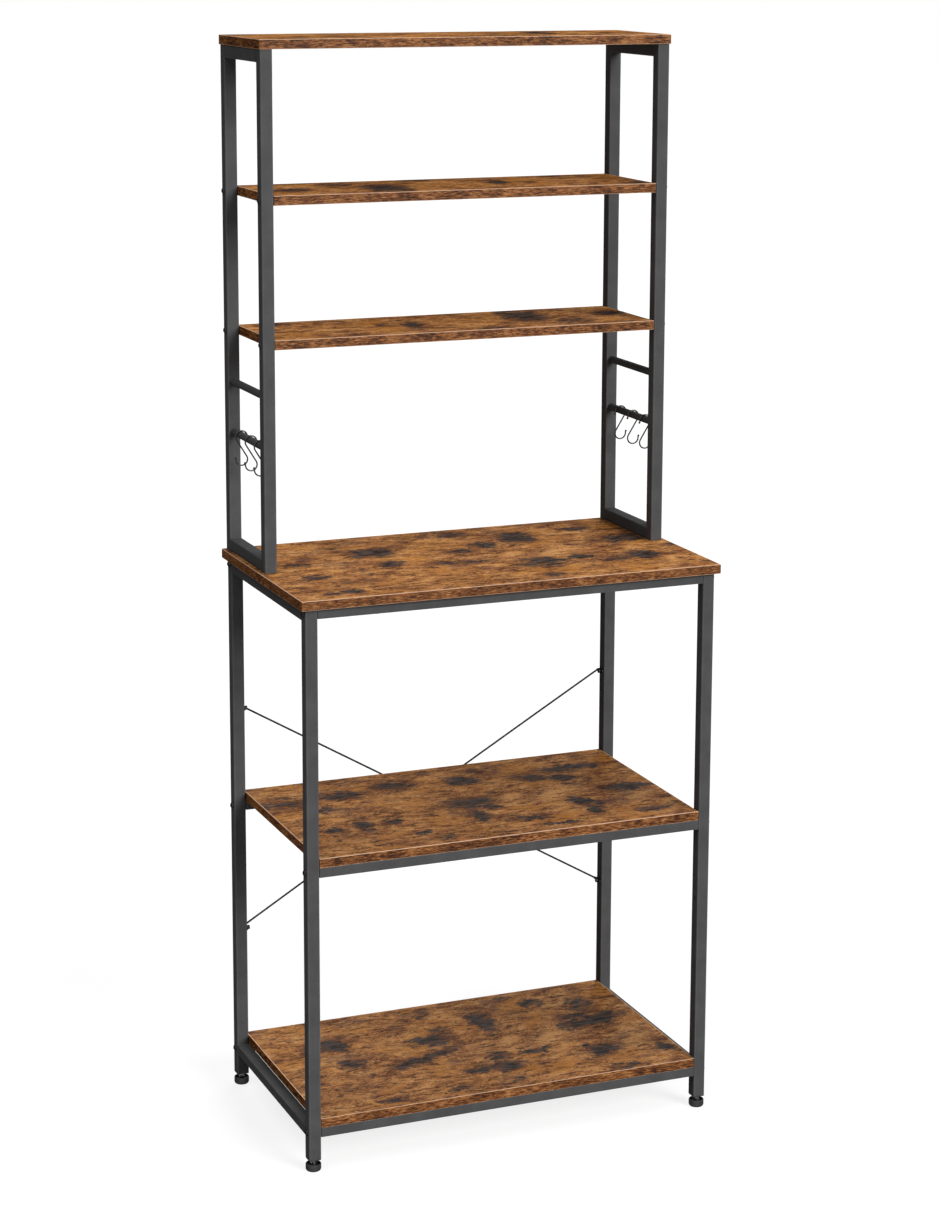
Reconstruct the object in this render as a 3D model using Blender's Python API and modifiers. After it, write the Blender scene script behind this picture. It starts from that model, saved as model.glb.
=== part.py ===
"""Kitchen rack: a steel tube frame with a worktop, two lower shelves and a narrower hutch on the back half.

Metres. X runs to the right, Y to the back and Z up. The origin is on the floor, under the worktop's middle.
"""

import math

import bmesh
import bpy

# Clearances
SEAT_GAP = 0.0003  # between pieces that touch: welded butts, seats and boards on rails
FIT_GAP = 0.0003  # round a shank in its hole, and round a plug in its tube

# Overall sizes
WORKTOP_WIDTH = 0.700
WORKTOP_DEPTH = 0.400
WORKTOP_HEIGHT = 0.913  # floor to the worktop's upper face
WORKTOP_SIDE_OVERHANG = 0.0075  # past the legs' outer faces
WORKTOP_FRONT_OVERHANG = 0.007  # past the legs' front faces, and the same at the back

# Boards
BOARD_THICKNESS = 0.015
BOARD_EDGE_RADIUS = 0.0008
BOARD_EDGE_SEGMENTS = 1
LOWER_SHELF_BACK_INSET = 0.005  # from the legs' back faces; the front edge is flush with the legs
MIDDLE_SHELF_HEIGHT = 0.507  # floor to its upper face
BOTTOM_SHELF_HEIGHT = 0.086

# Steel tubes
TUBE_SIDE = 0.020
TUBE_WALL = 0.0012
TUBE_CORNER = 0.0022
FLAT_RAIL_HEIGHT = 0.015  # the long rails and the bottom side rails are flatter than the legs
CORNER_STEPS = 2
LEG_END_HEIGHT = 0.020  # floor to the open end of a leg

# Hutch, measured from the worktop's upper face
HUTCH_HEIGHT = 0.823
HUTCH_DEPTH = 0.200  # over the front and back faces of the posts
HUTCH_BACK_INSET = 0.002  # from the worktop's back edge to the back posts
TOP_BOARD_SIDE_OVERHANG = 0.0015  # past the posts' outer faces
TOP_BOARD_FRONT_OVERHANG = 0.002  # past the posts' front faces, and the same at the back
HUTCH_SHELF_BACK_INSET = 0.005  # from the posts' back faces; the front edge is flush with the posts
UPPER_SHELF_RISE = 0.587
LOWER_SHELF_RISE = 0.365

# Round bars between the hutch posts
BAR_DIAMETER = 0.012
BAR_WALL = 0.0010
BAR_SIDES = 16
UPPER_BAR_RISE = 0.2755
LOWER_BAR_RISE = 0.1944

# Hooks on the lower bars
HOOK_WIRE = 0.0024
HOOK_LOOP_RADIUS = 0.0096  # to the wire's centre line
HOOK_LOOP_SPACING = 0.0367  # between the centres of the two loops
HOOK_TIP_ANGLE = math.radians(28)  # how far each tip curls past level
HOOK_ARC_STEP = math.radians(24)
HOOK_SETBACKS = (0.049, 0.095, 0.144)  # from the hutch posts' front faces to each hook

# Button-head bolts through legs and posts, and the bolts that hold the hutch down
BOLT_DIAMETER = 0.006
BOLT_HEAD_DIAMETER = 0.0105
BOLT_HEAD_HEIGHT = 0.0030
BOLT_GRIP_IN_RAIL = 0.012
BOLT_GRIP_IN_SHELF = 0.025
BOLT_SIDES = 10
RAIL_PLUG_LENGTH = 0.014  # the threaded plug welded in each end of a long rail
HUTCH_BOLT_INSET = 0.030  # from a post's inner face to the hutch bolt beside it
HUTCH_BOLT_REACH = 0.008  # above the lower wall of the hutch's bottom rail

# Board screws, driven up through the long rails
SCREW_HOLE_DIAMETER = 0.0045
SCREW_HOLE_SIDES = 8
SCREW_INSET = 0.0975  # from a leg's inner face to the screw beside it

# Cross brace behind the lower shelves
BRACE_ROD_DIAMETER = 0.0032
BRACE_TOP_HEIGHT = 0.6475
BRACE_BOTTOM_HEIGHT = 0.271
BRACE_TAB_WIDTH = 0.0066
BRACE_TAB_THICKNESS = 0.0022
BRACE_TAB_FRONT_MARGIN = 0.002  # from the leg's front inner edge to the tab's tip
BRACE_KNUCKLE_DIAMETER = 0.0052
BRACE_SCREW_DIAMETER = 0.004
BRACE_SCREW_HEAD_DIAMETER = 0.007
BRACE_SCREW_HEAD_HEIGHT = 0.004
BRACE_SCREW_REACH = 0.004  # past the inside of the leg's wall
BRACE_BOW_STEPS = 6

# Levelling feet
INSERT_FLANGE = 0.0015
INSERT_DEPTH = 0.022  # inside the leg
STEM_THREAD_DIAMETER = 0.006
STEM_THREAD_LENGTH = 0.026
STEM_SHOULDER_DIAMETER = 0.0086
PAD_DIAMETER = 0.0245
PAD_HEIGHT = 0.0115
PAD_RIM_WALL = 0.0018
PAD_HUB_WALL = 0.0026
PAD_HUB_HEIGHT = 0.0085
PAD_GROOVE_FLOOR = 0.0050
PAD_SOLE = 0.0030  # under the stem's socket
PAD_ROUND = 0.0006
FOOT_SIDES = 16

# Levels and planes worked out from the sizes above
WORKTOP_UNDERSIDE = WORKTOP_HEIGHT - BOARD_THICKNESS
LEG_TOP = WORKTOP_UNDERSIDE - SEAT_GAP
FRAME_WIDTH = WORKTOP_WIDTH - 2 * WORKTOP_SIDE_OVERHANG
BASE_DEPTH = WORKTOP_DEPTH - 2 * WORKTOP_FRONT_OVERHANG
LEG_X = (FRAME_WIDTH - TUBE_SIDE) / 2
LEG_Y = (BASE_DEPTH - TUBE_SIDE) / 2
INNER_HALF_WIDTH = FRAME_WIDTH / 2 - TUBE_SIDE
HUTCH_CENTRE_Y = WORKTOP_DEPTH / 2 - HUTCH_BACK_INSET - HUTCH_DEPTH / 2
POST_Y = (HUTCH_DEPTH - TUBE_SIDE) / 2
BRACE_PLANE_Y = BASE_DEPTH / 2 + SEAT_GAP + BRACE_ROD_DIAMETER / 2
BOLT_HOLE_DIAMETER = BOLT_DIAMETER + 2 * FIT_GAP

SIDES = {"left": -1, "right": 1}
DEPTHS = {"front": -1, "back": 1}

# Turns that lay an object's own Z along a world axis
UPRIGHT = (0, 0, 0)
ALONG_X = (0, math.pi / 2, 0)
ALONG_MINUS_X = (0, -math.pi / 2, 0)
ALONG_Y = (-math.pi / 2, 0, 0)
DOWNWARD = (math.pi, 0, 0)


def clear_scene():
    for obj in list(bpy.data.objects):
        bpy.data.objects.remove(obj)


def new_collection(name):
    collection = bpy.data.collections.new(name)
    bpy.context.scene.collection.children.link(collection)
    return collection


def new_material(name, colour, roughness, metallic):
    material = bpy.data.materials.new(name)
    material.use_nodes = True
    shader = material.node_tree.nodes["Principled BSDF"]
    shader.inputs["Base Color"].default_value = (*colour, 1)
    shader.inputs["Roughness"].default_value = roughness
    shader.inputs["Metallic"].default_value = metallic
    return material


clear_scene()
PARTS = new_collection("kitchen_rack")
CUTTERS = new_collection("cutters")
WOOD = new_material("rustic_brown_board", (0.30, 0.15, 0.07), 0.45, 0)
PAINT = new_material("charcoal_painted_steel", (0.045, 0.045, 0.047), 0.42, 0)
BLACK_STEEL = new_material("black_steel", (0.020, 0.020, 0.022), 0.32, 0.6)
PLASTIC = new_material("black_plastic", (0.025, 0.025, 0.026), 0.55, 0)
ZINC = new_material("zinc_plated_steel", (0.45, 0.45, 0.44), 0.35, 1)


def new_anchor(name, location):
    """An empty that a sub-assembly's pieces are placed from."""
    anchor = bpy.data.objects.new(name, None)
    anchor.location = location
    PARTS.objects.link(anchor)
    return anchor


BASE = new_anchor("base", (0, 0, 0))
HUTCH = new_anchor("hutch", (0, HUTCH_CENTRE_Y, WORKTOP_HEIGHT))


def add_part(obj, material, location, turn=UPRIGHT, anchor=BASE):
    obj.data.materials.append(material)
    obj.parent = anchor
    obj.location = location
    obj.rotation_euler = turn
    PARTS.objects.link(obj)
    return obj


def add_operand(obj, location, turn=UPRIGHT, anchor=BASE):
    """A shape that only cuts, or is joined to, another piece."""
    obj.parent = anchor
    obj.location = location
    obj.rotation_euler = turn
    obj.hide_render = True
    obj.display_type = "WIRE"
    CUTTERS.objects.link(obj)
    return obj


def combine(target, operand, operation):
    modifier = target.modifiers.new(operand.name, "BOOLEAN")
    modifier.operation = operation
    modifier.object = operand


def rounded_rectangle(width, height, radius):
    """Points of a rectangle with round corners, anticlockwise about the origin."""
    points = []
    for quarter, (across, up) in enumerate(((1, 1), (-1, 1), (-1, -1), (1, -1))):
        for step in range(CORNER_STEPS + 1):
            angle = math.pi / 2 * (quarter + step / CORNER_STEPS)
            x = across * (width / 2 - radius) + radius * math.cos(angle)
            y = up * (height / 2 - radius) + radius * math.sin(angle)
            points.append((x, y))
    return points


def circle(radius, sides):
    angles = [2 * math.pi * side / sides for side in range(sides)]
    return [(radius * math.cos(angle), radius * math.sin(angle)) for angle in angles]


def extrusion(name, outlines, length):
    """A mesh prism of the first outline along its own Z, with the other outlines as holes through it."""
    curve = bpy.data.curves.new(name, "CURVE")
    curve.dimensions = "2D"
    curve.fill_mode = "BOTH"
    curve.extrude = length / 2
    for outline in outlines:
        spline = curve.splines.new("POLY")
        spline.points.add(len(outline) - 1)
        for point, (x, y) in zip(spline.points, outline):
            point.co = (x, y, 0, 1)
        spline.use_cyclic_u = True
    return as_mesh(bpy.data.objects.new(name, curve))


def wire(name, points, diameter):
    """A round wire along a list of points, as a mesh."""
    curve = bpy.data.curves.new(name, "CURVE")
    curve.dimensions = "3D"
    curve.bevel_depth = diameter / 2
    curve.bevel_resolution = 2
    curve.use_fill_caps = True
    spline = curve.splines.new("POLY")
    spline.points.add(len(points) - 1)
    for point, place in zip(spline.points, points):
        point.co = (*place, 1)
    return as_mesh(bpy.data.objects.new(name, curve))


def as_mesh(source):
    """The curve object as a mesh object of the same name, with its caps welded on."""
    name = source.name
    bpy.context.scene.collection.objects.link(source)
    bpy.context.view_layer.update()
    graph = bpy.context.evaluated_depsgraph_get()
    mesh = bpy.data.meshes.new_from_object(source.evaluated_get(graph))
    bpy.data.objects.remove(source)
    shape = bmesh.new()
    shape.from_mesh(mesh)
    bmesh.ops.remove_doubles(shape, verts=shape.verts, dist=0.000001)
    bmesh.ops.recalc_face_normals(shape, faces=shape.faces)
    shape.to_mesh(mesh)
    shape.free()
    mesh.name = name
    return bpy.data.objects.new(name, mesh)


def box(name, width, depth, height):
    mesh = bpy.data.meshes.new(name)
    shape = bmesh.new()
    bmesh.ops.create_cube(shape, size=1)
    bmesh.ops.scale(shape, vec=(width, depth, height), verts=shape.verts)
    shape.to_mesh(mesh)
    shape.free()
    return bpy.data.objects.new(name, mesh)


def cylinder(name, diameter, length, sides):
    mesh = bpy.data.meshes.new(name)
    shape = bmesh.new()
    ends = {"radius1": diameter / 2, "radius2": diameter / 2}
    bmesh.ops.create_cone(shape, cap_ends=True, segments=sides, depth=length, **ends)
    shape.to_mesh(mesh)
    shape.free()
    return bpy.data.objects.new(name, mesh)


def ball(name, diameter):
    mesh = bpy.data.meshes.new(name)
    shape = bmesh.new()
    bmesh.ops.create_uvsphere(shape, u_segments=8, v_segments=6, radius=diameter / 2)
    shape.to_mesh(mesh)
    shape.free()
    return bpy.data.objects.new(name, mesh)


def turned(name, profile, sides):
    """A solid turned about its own Z. The profile of (radius, height) points runs down its outer side."""
    mesh = bpy.data.meshes.new(name)
    edges = [(index, index + 1) for index in range(len(profile) - 1)]
    mesh.from_pydata([(radius, 0, height) for radius, height in profile], edges, [])
    obj = bpy.data.objects.new(name, mesh)
    screw = obj.modifiers.new("turn", "SCREW")
    screw.steps = sides
    screw.render_steps = sides
    screw.use_merge_vertices = True
    screw.merge_threshold = 0.00001
    return obj


def square_tube(name, width, height, length):
    """A hollow tube with open ends: width along its own X, height along its own Y."""
    outer = rounded_rectangle(width, height, TUBE_CORNER)
    inner_corner = max(TUBE_CORNER - TUBE_WALL, TUBE_CORNER / 4)
    inner = rounded_rectangle(width - 2 * TUBE_WALL, height - 2 * TUBE_WALL, inner_corner)
    return extrusion(name, (outer, inner), length)


def bolt(name, diameter, head_diameter, head_height, length):
    """A button-head bolt whose head rises from its own origin and whose shank runs down from it."""
    arc = [math.radians(angle) for angle in (0, 50, 90)]
    dome = [(head_diameter / 2 * math.sin(a), head_height * math.cos(a)) for a in arc]
    shank = [(diameter / 2, 0), (diameter / 2, -length), (0, -length)]
    return turned(name, dome + shank, BOLT_SIDES)


def board(name, width, depth, location, anchor=BASE):
    """A laminated board; location is the middle of its upper face."""
    obj = box(name, width, depth, BOARD_THICKNESS)
    x, y, z = location
    add_part(obj, WOOD, (x, y, z - BOARD_THICKNESS / 2), anchor=anchor)
    bevel = obj.modifiers.new("eased_edges", "BEVEL")
    bevel.width = BOARD_EDGE_RADIUS
    bevel.segments = BOARD_EDGE_SEGMENTS
    return obj


def drill(target, diameter, length, location, turn, anchor=BASE, sides=BOLT_SIDES):
    """Cuts a round hole of the given length, whose middle is at the location."""
    hole = cylinder(f"{target.name}_hole_{len(target.modifiers)}", diameter, length, sides)
    combine(target, add_operand(hole, location, turn, anchor), "DIFFERENCE")


def rail_levels():
    """Height of the middle of each long rail, by the board that it carries."""
    undersides = {
        "worktop": WORKTOP_UNDERSIDE,
        "middle": MIDDLE_SHELF_HEIGHT - BOARD_THICKNESS,
        "bottom": BOTTOM_SHELF_HEIGHT - BOARD_THICKNESS,
    }
    return {level: z - SEAT_GAP - FLAT_RAIL_HEIGHT / 2 for level, z in undersides.items()}


def add_boards():
    worktop = board("worktop", WORKTOP_WIDTH, WORKTOP_DEPTH, (0, 0, WORKTOP_HEIGHT))
    for location in hutch_bolt_places():
        drill(worktop, BOLT_HOLE_DIAMETER, 3 * BOARD_THICKNESS, (*location, WORKTOP_HEIGHT), UPRIGHT)
    width = 2 * (INNER_HALF_WIDTH - SEAT_GAP)
    depth = BASE_DEPTH - LOWER_SHELF_BACK_INSET
    centre_y = -LOWER_SHELF_BACK_INSET / 2
    board("middle_shelf", width, depth, (0, centre_y, MIDDLE_SHELF_HEIGHT))
    board("bottom_shelf", width, depth, (0, centre_y, BOTTOM_SHELF_HEIGHT))


def add_legs():
    """Four legs, drilled for the rail bolts, and for the brace screws in the back ones."""
    length = LEG_TOP - LEG_END_HEIGHT
    for side, sign in SIDES.items():
        for depth, way in DEPTHS.items():
            leg = square_tube(f"leg_{depth}_{side}", TUBE_SIDE, TUBE_SIDE, length)
            x = sign * LEG_X
            y = way * LEG_Y
            add_part(leg, PAINT, (x, y, LEG_END_HEIGHT + length / 2))
            for z in rail_levels().values():
                drill(leg, BOLT_HOLE_DIAMETER, 2 * TUBE_SIDE, (x, y, z), ALONG_X)
            if depth == "back":
                for z in (BRACE_TOP_HEIGHT, BRACE_BOTTOM_HEIGHT):
                    inner_x = sign * INNER_HALF_WIDTH
                    drill(leg, BRACE_SCREW_DIAMETER + 2 * FIT_GAP, TUBE_SIDE, (inner_x, y, z), ALONG_X)


def add_base_side_rails():
    """On each side a square rail under the worktop and a flat one at the bottom shelf, between the legs."""
    length = 2 * LEG_Y - TUBE_SIDE - 2 * SEAT_GAP
    bottom_z = rail_levels()["bottom"]
    for side, sign in SIDES.items():
        x = sign * LEG_X
        upper = square_tube(f"worktop_side_rail_{side}", TUBE_SIDE, TUBE_SIDE, length)
        upper_z = LEG_TOP - TUBE_SIDE / 2
        add_part(upper, PAINT, (x, 0, upper_z), ALONG_Y)
        for bolt_x, bolt_y in hutch_bolt_places():
            if bolt_x * sign > 0:
                drill(upper, BOLT_HOLE_DIAMETER, 2 * TUBE_SIDE, (bolt_x, bolt_y, upper_z), UPRIGHT)
        lower = square_tube(f"bottom_side_rail_{side}", TUBE_SIDE, FLAT_RAIL_HEIGHT, length)
        add_part(lower, PAINT, (x, 0, bottom_z), ALONG_Y)


def add_long_rail(name, y, z):
    """A flat rail between two legs, with a threaded plug and a bolt in each end, and two screw holes."""
    length = 2 * (INNER_HALF_WIDTH - SEAT_GAP)
    rail = add_part(square_tube(name, FLAT_RAIL_HEIGHT, TUBE_SIDE, length), PAINT, (0, y, z), ALONG_X)
    plug_height = FLAT_RAIL_HEIGHT - TUBE_WALL
    plug_depth = TUBE_SIDE - TUBE_WALL
    outline = rounded_rectangle(plug_height, plug_depth, TUBE_CORNER - TUBE_WALL / 2)
    for side, sign in SIDES.items():
        plug = extrusion(f"{name}_plug_{side}", [outline], RAIL_PLUG_LENGTH)
        plug_x = sign * (length / 2 - TUBE_WALL - RAIL_PLUG_LENGTH / 2)
        combine(rail, add_operand(plug, (plug_x, y, z), ALONG_X), "UNION")
        add_side_bolt(rail, side, y, z, BOLT_GRIP_IN_RAIL, BASE)
        place = (sign * (INNER_HALF_WIDTH - SCREW_INSET), y, z)
        drill(rail, SCREW_HOLE_DIAMETER, 2 * FLAT_RAIL_HEIGHT, place, UPRIGHT, sides=SCREW_HOLE_SIDES)


def add_side_bolt(target, side, y, z, grip, anchor):
    """The bolt that enters a rail or a shelf through the leg or post beside it, with its head outside."""
    reach = TUBE_SIDE + 2 * SEAT_GAP + grip
    name = f"{target.name}_bolt_{side}_{len(target.modifiers)}"
    shape = bolt(name, BOLT_DIAMETER, BOLT_HEAD_DIAMETER, BOLT_HEAD_HEIGHT, reach)
    turn = ALONG_X if side == "right" else ALONG_MINUS_X
    x = SIDES[side] * (FRAME_WIDTH / 2 + SEAT_GAP)
    combine(target, add_operand(shape, (x, y, z), turn, anchor), "UNION")


def add_long_rails():
    for level, z in rail_levels().items():
        for depth, way in DEPTHS.items():
            add_long_rail(f"{level}_rail_{depth}", way * LEG_Y, z)


def hutch_bolt_places():
    """World X and Y of the four bolts that hold the hutch's bottom rails down on the worktop."""
    reach = HUTCH_DEPTH / 2 - TUBE_SIDE - HUTCH_BOLT_INSET
    levels = [HUTCH_CENTRE_Y + way * reach for way in DEPTHS.values()]
    return [(sign * LEG_X, y) for sign in SIDES.values() for y in levels]


def add_hutch_bolts():
    """Each runs up through the worktop's side rail and the worktop into the hutch's bottom rail."""
    head_z = LEG_TOP - TUBE_SIDE - SEAT_GAP
    length = WORKTOP_HEIGHT + SEAT_GAP + TUBE_WALL + HUTCH_BOLT_REACH - head_z
    names = [f"hutch_bolt_{depth}_{side}" for side in SIDES for depth in DEPTHS]
    for name, place in zip(names, hutch_bolt_places()):
        shape = bolt(name, BOLT_DIAMETER, BOLT_HEAD_DIAMETER, BOLT_HEAD_HEIGHT, length)
        add_part(shape, BLACK_STEEL, (*place, head_z), DOWNWARD)


def add_hutch_sides():
    """Two posts, a rail across their bottom and top ends, and two round bars on each side."""
    post_length = HUTCH_HEIGHT - BOARD_THICKNESS - 2 * SEAT_GAP
    between = HUTCH_DEPTH - 2 * TUBE_SIDE - 2 * SEAT_GAP
    shelf_levels = [rise - BOARD_THICKNESS / 2 for rise in (UPPER_SHELF_RISE, LOWER_SHELF_RISE)]
    for side, sign in SIDES.items():
        x = sign * LEG_X
        for depth, way in DEPTHS.items():
            post = square_tube(f"hutch_post_{depth}_{side}", TUBE_SIDE, TUBE_SIDE, post_length)
            y = way * POST_Y
            add_part(post, PAINT, (x, y, SEAT_GAP + post_length / 2), anchor=HUTCH)
            for z in shelf_levels:
                drill(post, BOLT_HOLE_DIAMETER, 2 * TUBE_SIDE, (x, y, z), ALONG_X, HUTCH)
        rail_heights = {
            "bottom": SEAT_GAP + TUBE_SIDE / 2,
            "top": SEAT_GAP + post_length - TUBE_SIDE / 2,
        }
        for level, z in rail_heights.items():
            rail = square_tube(f"hutch_{level}_rail_{side}", TUBE_SIDE, TUBE_SIDE, between)
            add_part(rail, PAINT, (x, 0, z), ALONG_Y, HUTCH)
            if level == "bottom":
                for _, world_y in hutch_bolt_places()[:2]:
                    place = (x, world_y - HUTCH_CENTRE_Y, SEAT_GAP)
                    drill(rail, BOLT_HOLE_DIAMETER, TUBE_SIDE, place, UPRIGHT, HUTCH)
        for level, rise in (("upper", UPPER_BAR_RISE), ("lower", LOWER_BAR_RISE)):
            outer = circle(BAR_DIAMETER / 2, BAR_SIDES)
            inner = circle(BAR_DIAMETER / 2 - BAR_WALL, BAR_SIDES)
            bar = extrusion(f"{level}_bar_{side}", (outer, inner), between)
            add_part(bar, PAINT, (x, 0, rise), ALONG_Y, HUTCH)
            shade_round(bar)


def add_hutch_boards():
    """The top board lies on the posts; the two shelves hang between them on bolts in their ends."""
    top_width = FRAME_WIDTH + 2 * TOP_BOARD_SIDE_OVERHANG
    top_depth = HUTCH_DEPTH + 2 * TOP_BOARD_FRONT_OVERHANG
    board("top_board", top_width, top_depth, (0, 0, HUTCH_HEIGHT), HUTCH)
    width = 2 * (INNER_HALF_WIDTH - SEAT_GAP)
    depth = HUTCH_DEPTH - HUTCH_SHELF_BACK_INSET
    shelf_y = -HUTCH_SHELF_BACK_INSET / 2
    shelves = (("hutch_shelf_upper", UPPER_SHELF_RISE), ("hutch_shelf_lower", LOWER_SHELF_RISE))
    for name, rise in shelves:
        shelf = board(name, width, depth, (0, shelf_y, rise), HUTCH)
        for side in SIDES:
            for way in DEPTHS.values():
                z = rise - BOARD_THICKNESS / 2
                add_side_bolt(shelf, side, way * POST_Y, z, BOLT_GRIP_IN_SHELF, HUTCH)


def shade_round(obj):
    obj.data.shade_smooth()
    obj.data.set_sharp_from_angle(angle=math.radians(40))


def add_brace():
    """Two rods cross behind the lower shelves. The rising one bows back over the other."""
    end_x = INNER_HALF_WIDTH - SEAT_GAP - BRACE_TAB_THICKNESS / 2
    bow = BRACE_ROD_DIAMETER + FIT_GAP
    rods = (("brace_rod_falling", 1, 0, 1), ("brace_rod_rising", -1, bow, BRACE_BOW_STEPS))
    for name, sign, lift, steps in rods:
        ends = ((-end_x, BRACE_TOP_HEIGHT), (end_x, BRACE_BOTTOM_HEIGHT))
        start, stop = [(sign * x, z) for x, z in ends]
        points = []
        for step in range(steps + 1):
            share = step / steps
            x = start[0] + share * (stop[0] - start[0])
            z = start[1] + share * (stop[1] - start[1])
            points.append((x, BRACE_PLANE_Y + lift * math.sin(math.pi * share), z))
        rod = add_part(wire(name, points, BRACE_ROD_DIAMETER), BLACK_STEEL, (0, 0, 0))
        shade_round(rod)
        for x, z in (start, stop):
            add_brace_tab(rod, x, z)


def add_brace_tab(rod, x, z):
    """The rod's end turns forward round the leg and lies flat on its inner face, with a screw hole."""
    front = LEG_Y - TUBE_SIDE / 2 + BRACE_TAB_FRONT_MARGIN
    back = BRACE_PLANE_Y + BRACE_ROD_DIAMETER / 5
    middle = (front + back) / 2
    plate = rounded_rectangle(BRACE_TAB_WIDTH, back - front, BRACE_TAB_WIDTH * 0.45)
    hole = [(a, b + LEG_Y - middle) for a, b in circle(BRACE_SCREW_DIAMETER / 2 + FIT_GAP, BOLT_SIDES)]
    tab = extrusion(f"{rod.name}_tab_{len(rod.modifiers)}", (plate, hole), BRACE_TAB_THICKNESS)
    combine(rod, add_operand(tab, (x, middle, z), ALONG_X), "UNION")
    knuckle = ball(f"{rod.name}_knuckle_{len(rod.modifiers)}", BRACE_KNUCKLE_DIAMETER)
    inset = math.copysign(BRACE_KNUCKLE_DIAMETER / 4, x)
    combine(rod, add_operand(knuckle, (x - inset, BRACE_PLANE_Y, z)), "UNION")


def add_brace_screws():
    """Cap screws through the brace tabs into the back legs' inner walls."""
    for side, sign in SIDES.items():
        for level, z in (("upper", BRACE_TOP_HEIGHT), ("lower", BRACE_BOTTOM_HEIGHT)):
            length = BRACE_TAB_THICKNESS + 2 * SEAT_GAP + TUBE_WALL + BRACE_SCREW_REACH
            radius = BRACE_SCREW_HEAD_DIAMETER / 2
            chamfer = radius / 6
            profile = [
                (0, BRACE_SCREW_HEAD_HEIGHT),
                (radius - chamfer, BRACE_SCREW_HEAD_HEIGHT),
                (radius, BRACE_SCREW_HEAD_HEIGHT - chamfer),
                (radius, 0),
                (BRACE_SCREW_DIAMETER / 2, 0),
                (BRACE_SCREW_DIAMETER / 2, -length),
                (0, -length),
            ]
            screw = turned(f"brace_screw_{level}_{side}", profile, BOLT_SIDES)
            x = sign * (INNER_HALF_WIDTH - 2 * SEAT_GAP - BRACE_TAB_THICKNESS)
            turn = ALONG_MINUS_X if side == "right" else ALONG_X
            add_part(screw, BLACK_STEEL, (x, LEG_Y, z), turn)


def add_leg_insert(name, x, y):
    """A plug pushed into the leg's open end, with a threaded hole for the foot's stem."""
    bore = TUBE_SIDE - 2 * TUBE_WALL
    plug_side = bore - 2 * FIT_GAP
    flange = extrusion(name, [rounded_rectangle(TUBE_SIDE, TUBE_SIDE, TUBE_CORNER)], INSERT_FLANGE)
    flange_z = LEG_END_HEIGHT - SEAT_GAP - INSERT_FLANGE / 2
    add_part(flange, PLASTIC, (x, y, flange_z))
    plug_length = SEAT_GAP + INSERT_FLANGE / 2 + INSERT_DEPTH
    outline = rounded_rectangle(plug_side, plug_side, TUBE_CORNER / 2)
    plug = extrusion(f"{name}_plug", [outline], plug_length)
    combine(flange, add_operand(plug, (x, y, flange_z + plug_length / 2)), "UNION")
    drill(flange, STEM_THREAD_DIAMETER + 2 * FIT_GAP, 4 * INSERT_DEPTH, (x, y, flange_z), UPRIGHT)


def add_foot_stem(name, x, y):
    """A turned stem: its thread runs up in the insert, and its shoulder stops under the insert's flange."""
    shoulder_top = LEG_END_HEIGHT - 2 * SEAT_GAP - INSERT_FLANGE
    thread_top = shoulder_top + STEM_THREAD_LENGTH
    thread = STEM_THREAD_DIAMETER / 2
    shoulder = STEM_SHOULDER_DIAMETER / 2
    chamfer = thread / 5
    profile = [
        (0, thread_top),
        (thread - chamfer, thread_top),
        (thread, thread_top - chamfer),
        (thread, shoulder_top),
        (shoulder, shoulder_top),
        (shoulder, PAD_SOLE + SEAT_GAP),
        (0, PAD_SOLE + SEAT_GAP),
    ]
    shade_round(add_part(turned(name, profile, FOOT_SIDES), ZINC, (x, y, 0)))


def add_foot_pad(name, x, y):
    """A turned cup: a rim round a groove, and a hub with the stem's socket."""
    radius = PAD_DIAMETER / 2
    socket = STEM_SHOULDER_DIAMETER / 2 + FIT_GAP
    hub = socket + PAD_HUB_WALL
    rim = radius - PAD_RIM_WALL
    profile = [
        (0, PAD_SOLE),
        (socket, PAD_SOLE),
        (socket, PAD_HUB_HEIGHT),
        (hub, PAD_HUB_HEIGHT),
        (hub, PAD_GROOVE_FLOOR),
        (rim, PAD_GROOVE_FLOOR),
        (rim, PAD_HEIGHT - PAD_ROUND),
        (rim + PAD_ROUND, PAD_HEIGHT),
        (radius - PAD_ROUND, PAD_HEIGHT),
        (radius, PAD_HEIGHT - PAD_ROUND),
        (radius, 2 * PAD_ROUND),
        (radius - 2 * PAD_ROUND, 0),
        (0, 0),
    ]
    shade_round(add_part(turned(name, profile, FOOT_SIDES), PLASTIC, (x, y, 0)))


def add_feet():
    for side, sign in SIDES.items():
        for depth, way in DEPTHS.items():
            x = sign * LEG_X
            y = way * LEG_Y
            add_leg_insert(f"leg_insert_{depth}_{side}", x, y)
            add_foot_stem(f"foot_stem_{depth}_{side}", x, y)
            add_foot_pad(f"foot_pad_{depth}_{side}", x, y)


def hook_path(inward):
    """Centre line of an S-hook about the bar's axis: over the bar, across, and round a lower loop."""
    upper_z = BAR_DIAMETER / 2 + SEAT_GAP + HOOK_WIRE / 2 - HOOK_LOOP_RADIUS
    lower_z = upper_z - HOOK_LOOP_SPACING
    lean = math.asin(2 * HOOK_LOOP_RADIUS / HOOK_LOOP_SPACING)
    sweep = math.pi + lean + HOOK_TIP_ANGLE
    steps = math.ceil(sweep / HOOK_ARC_STEP)
    upper = []
    for step in range(steps + 1):
        angle = -HOOK_TIP_ANGLE + sweep * step / steps
        upper.append((HOOK_LOOP_RADIUS * math.cos(angle), HOOK_LOOP_RADIUS * math.sin(angle)))
    lower = [(-x, -z) for x, z in reversed(upper)]
    path = [(x, z + upper_z) for x, z in upper] + [(x, z + lower_z) for x, z in lower]
    return [(inward * x, 0, z) for x, z in path]


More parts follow.
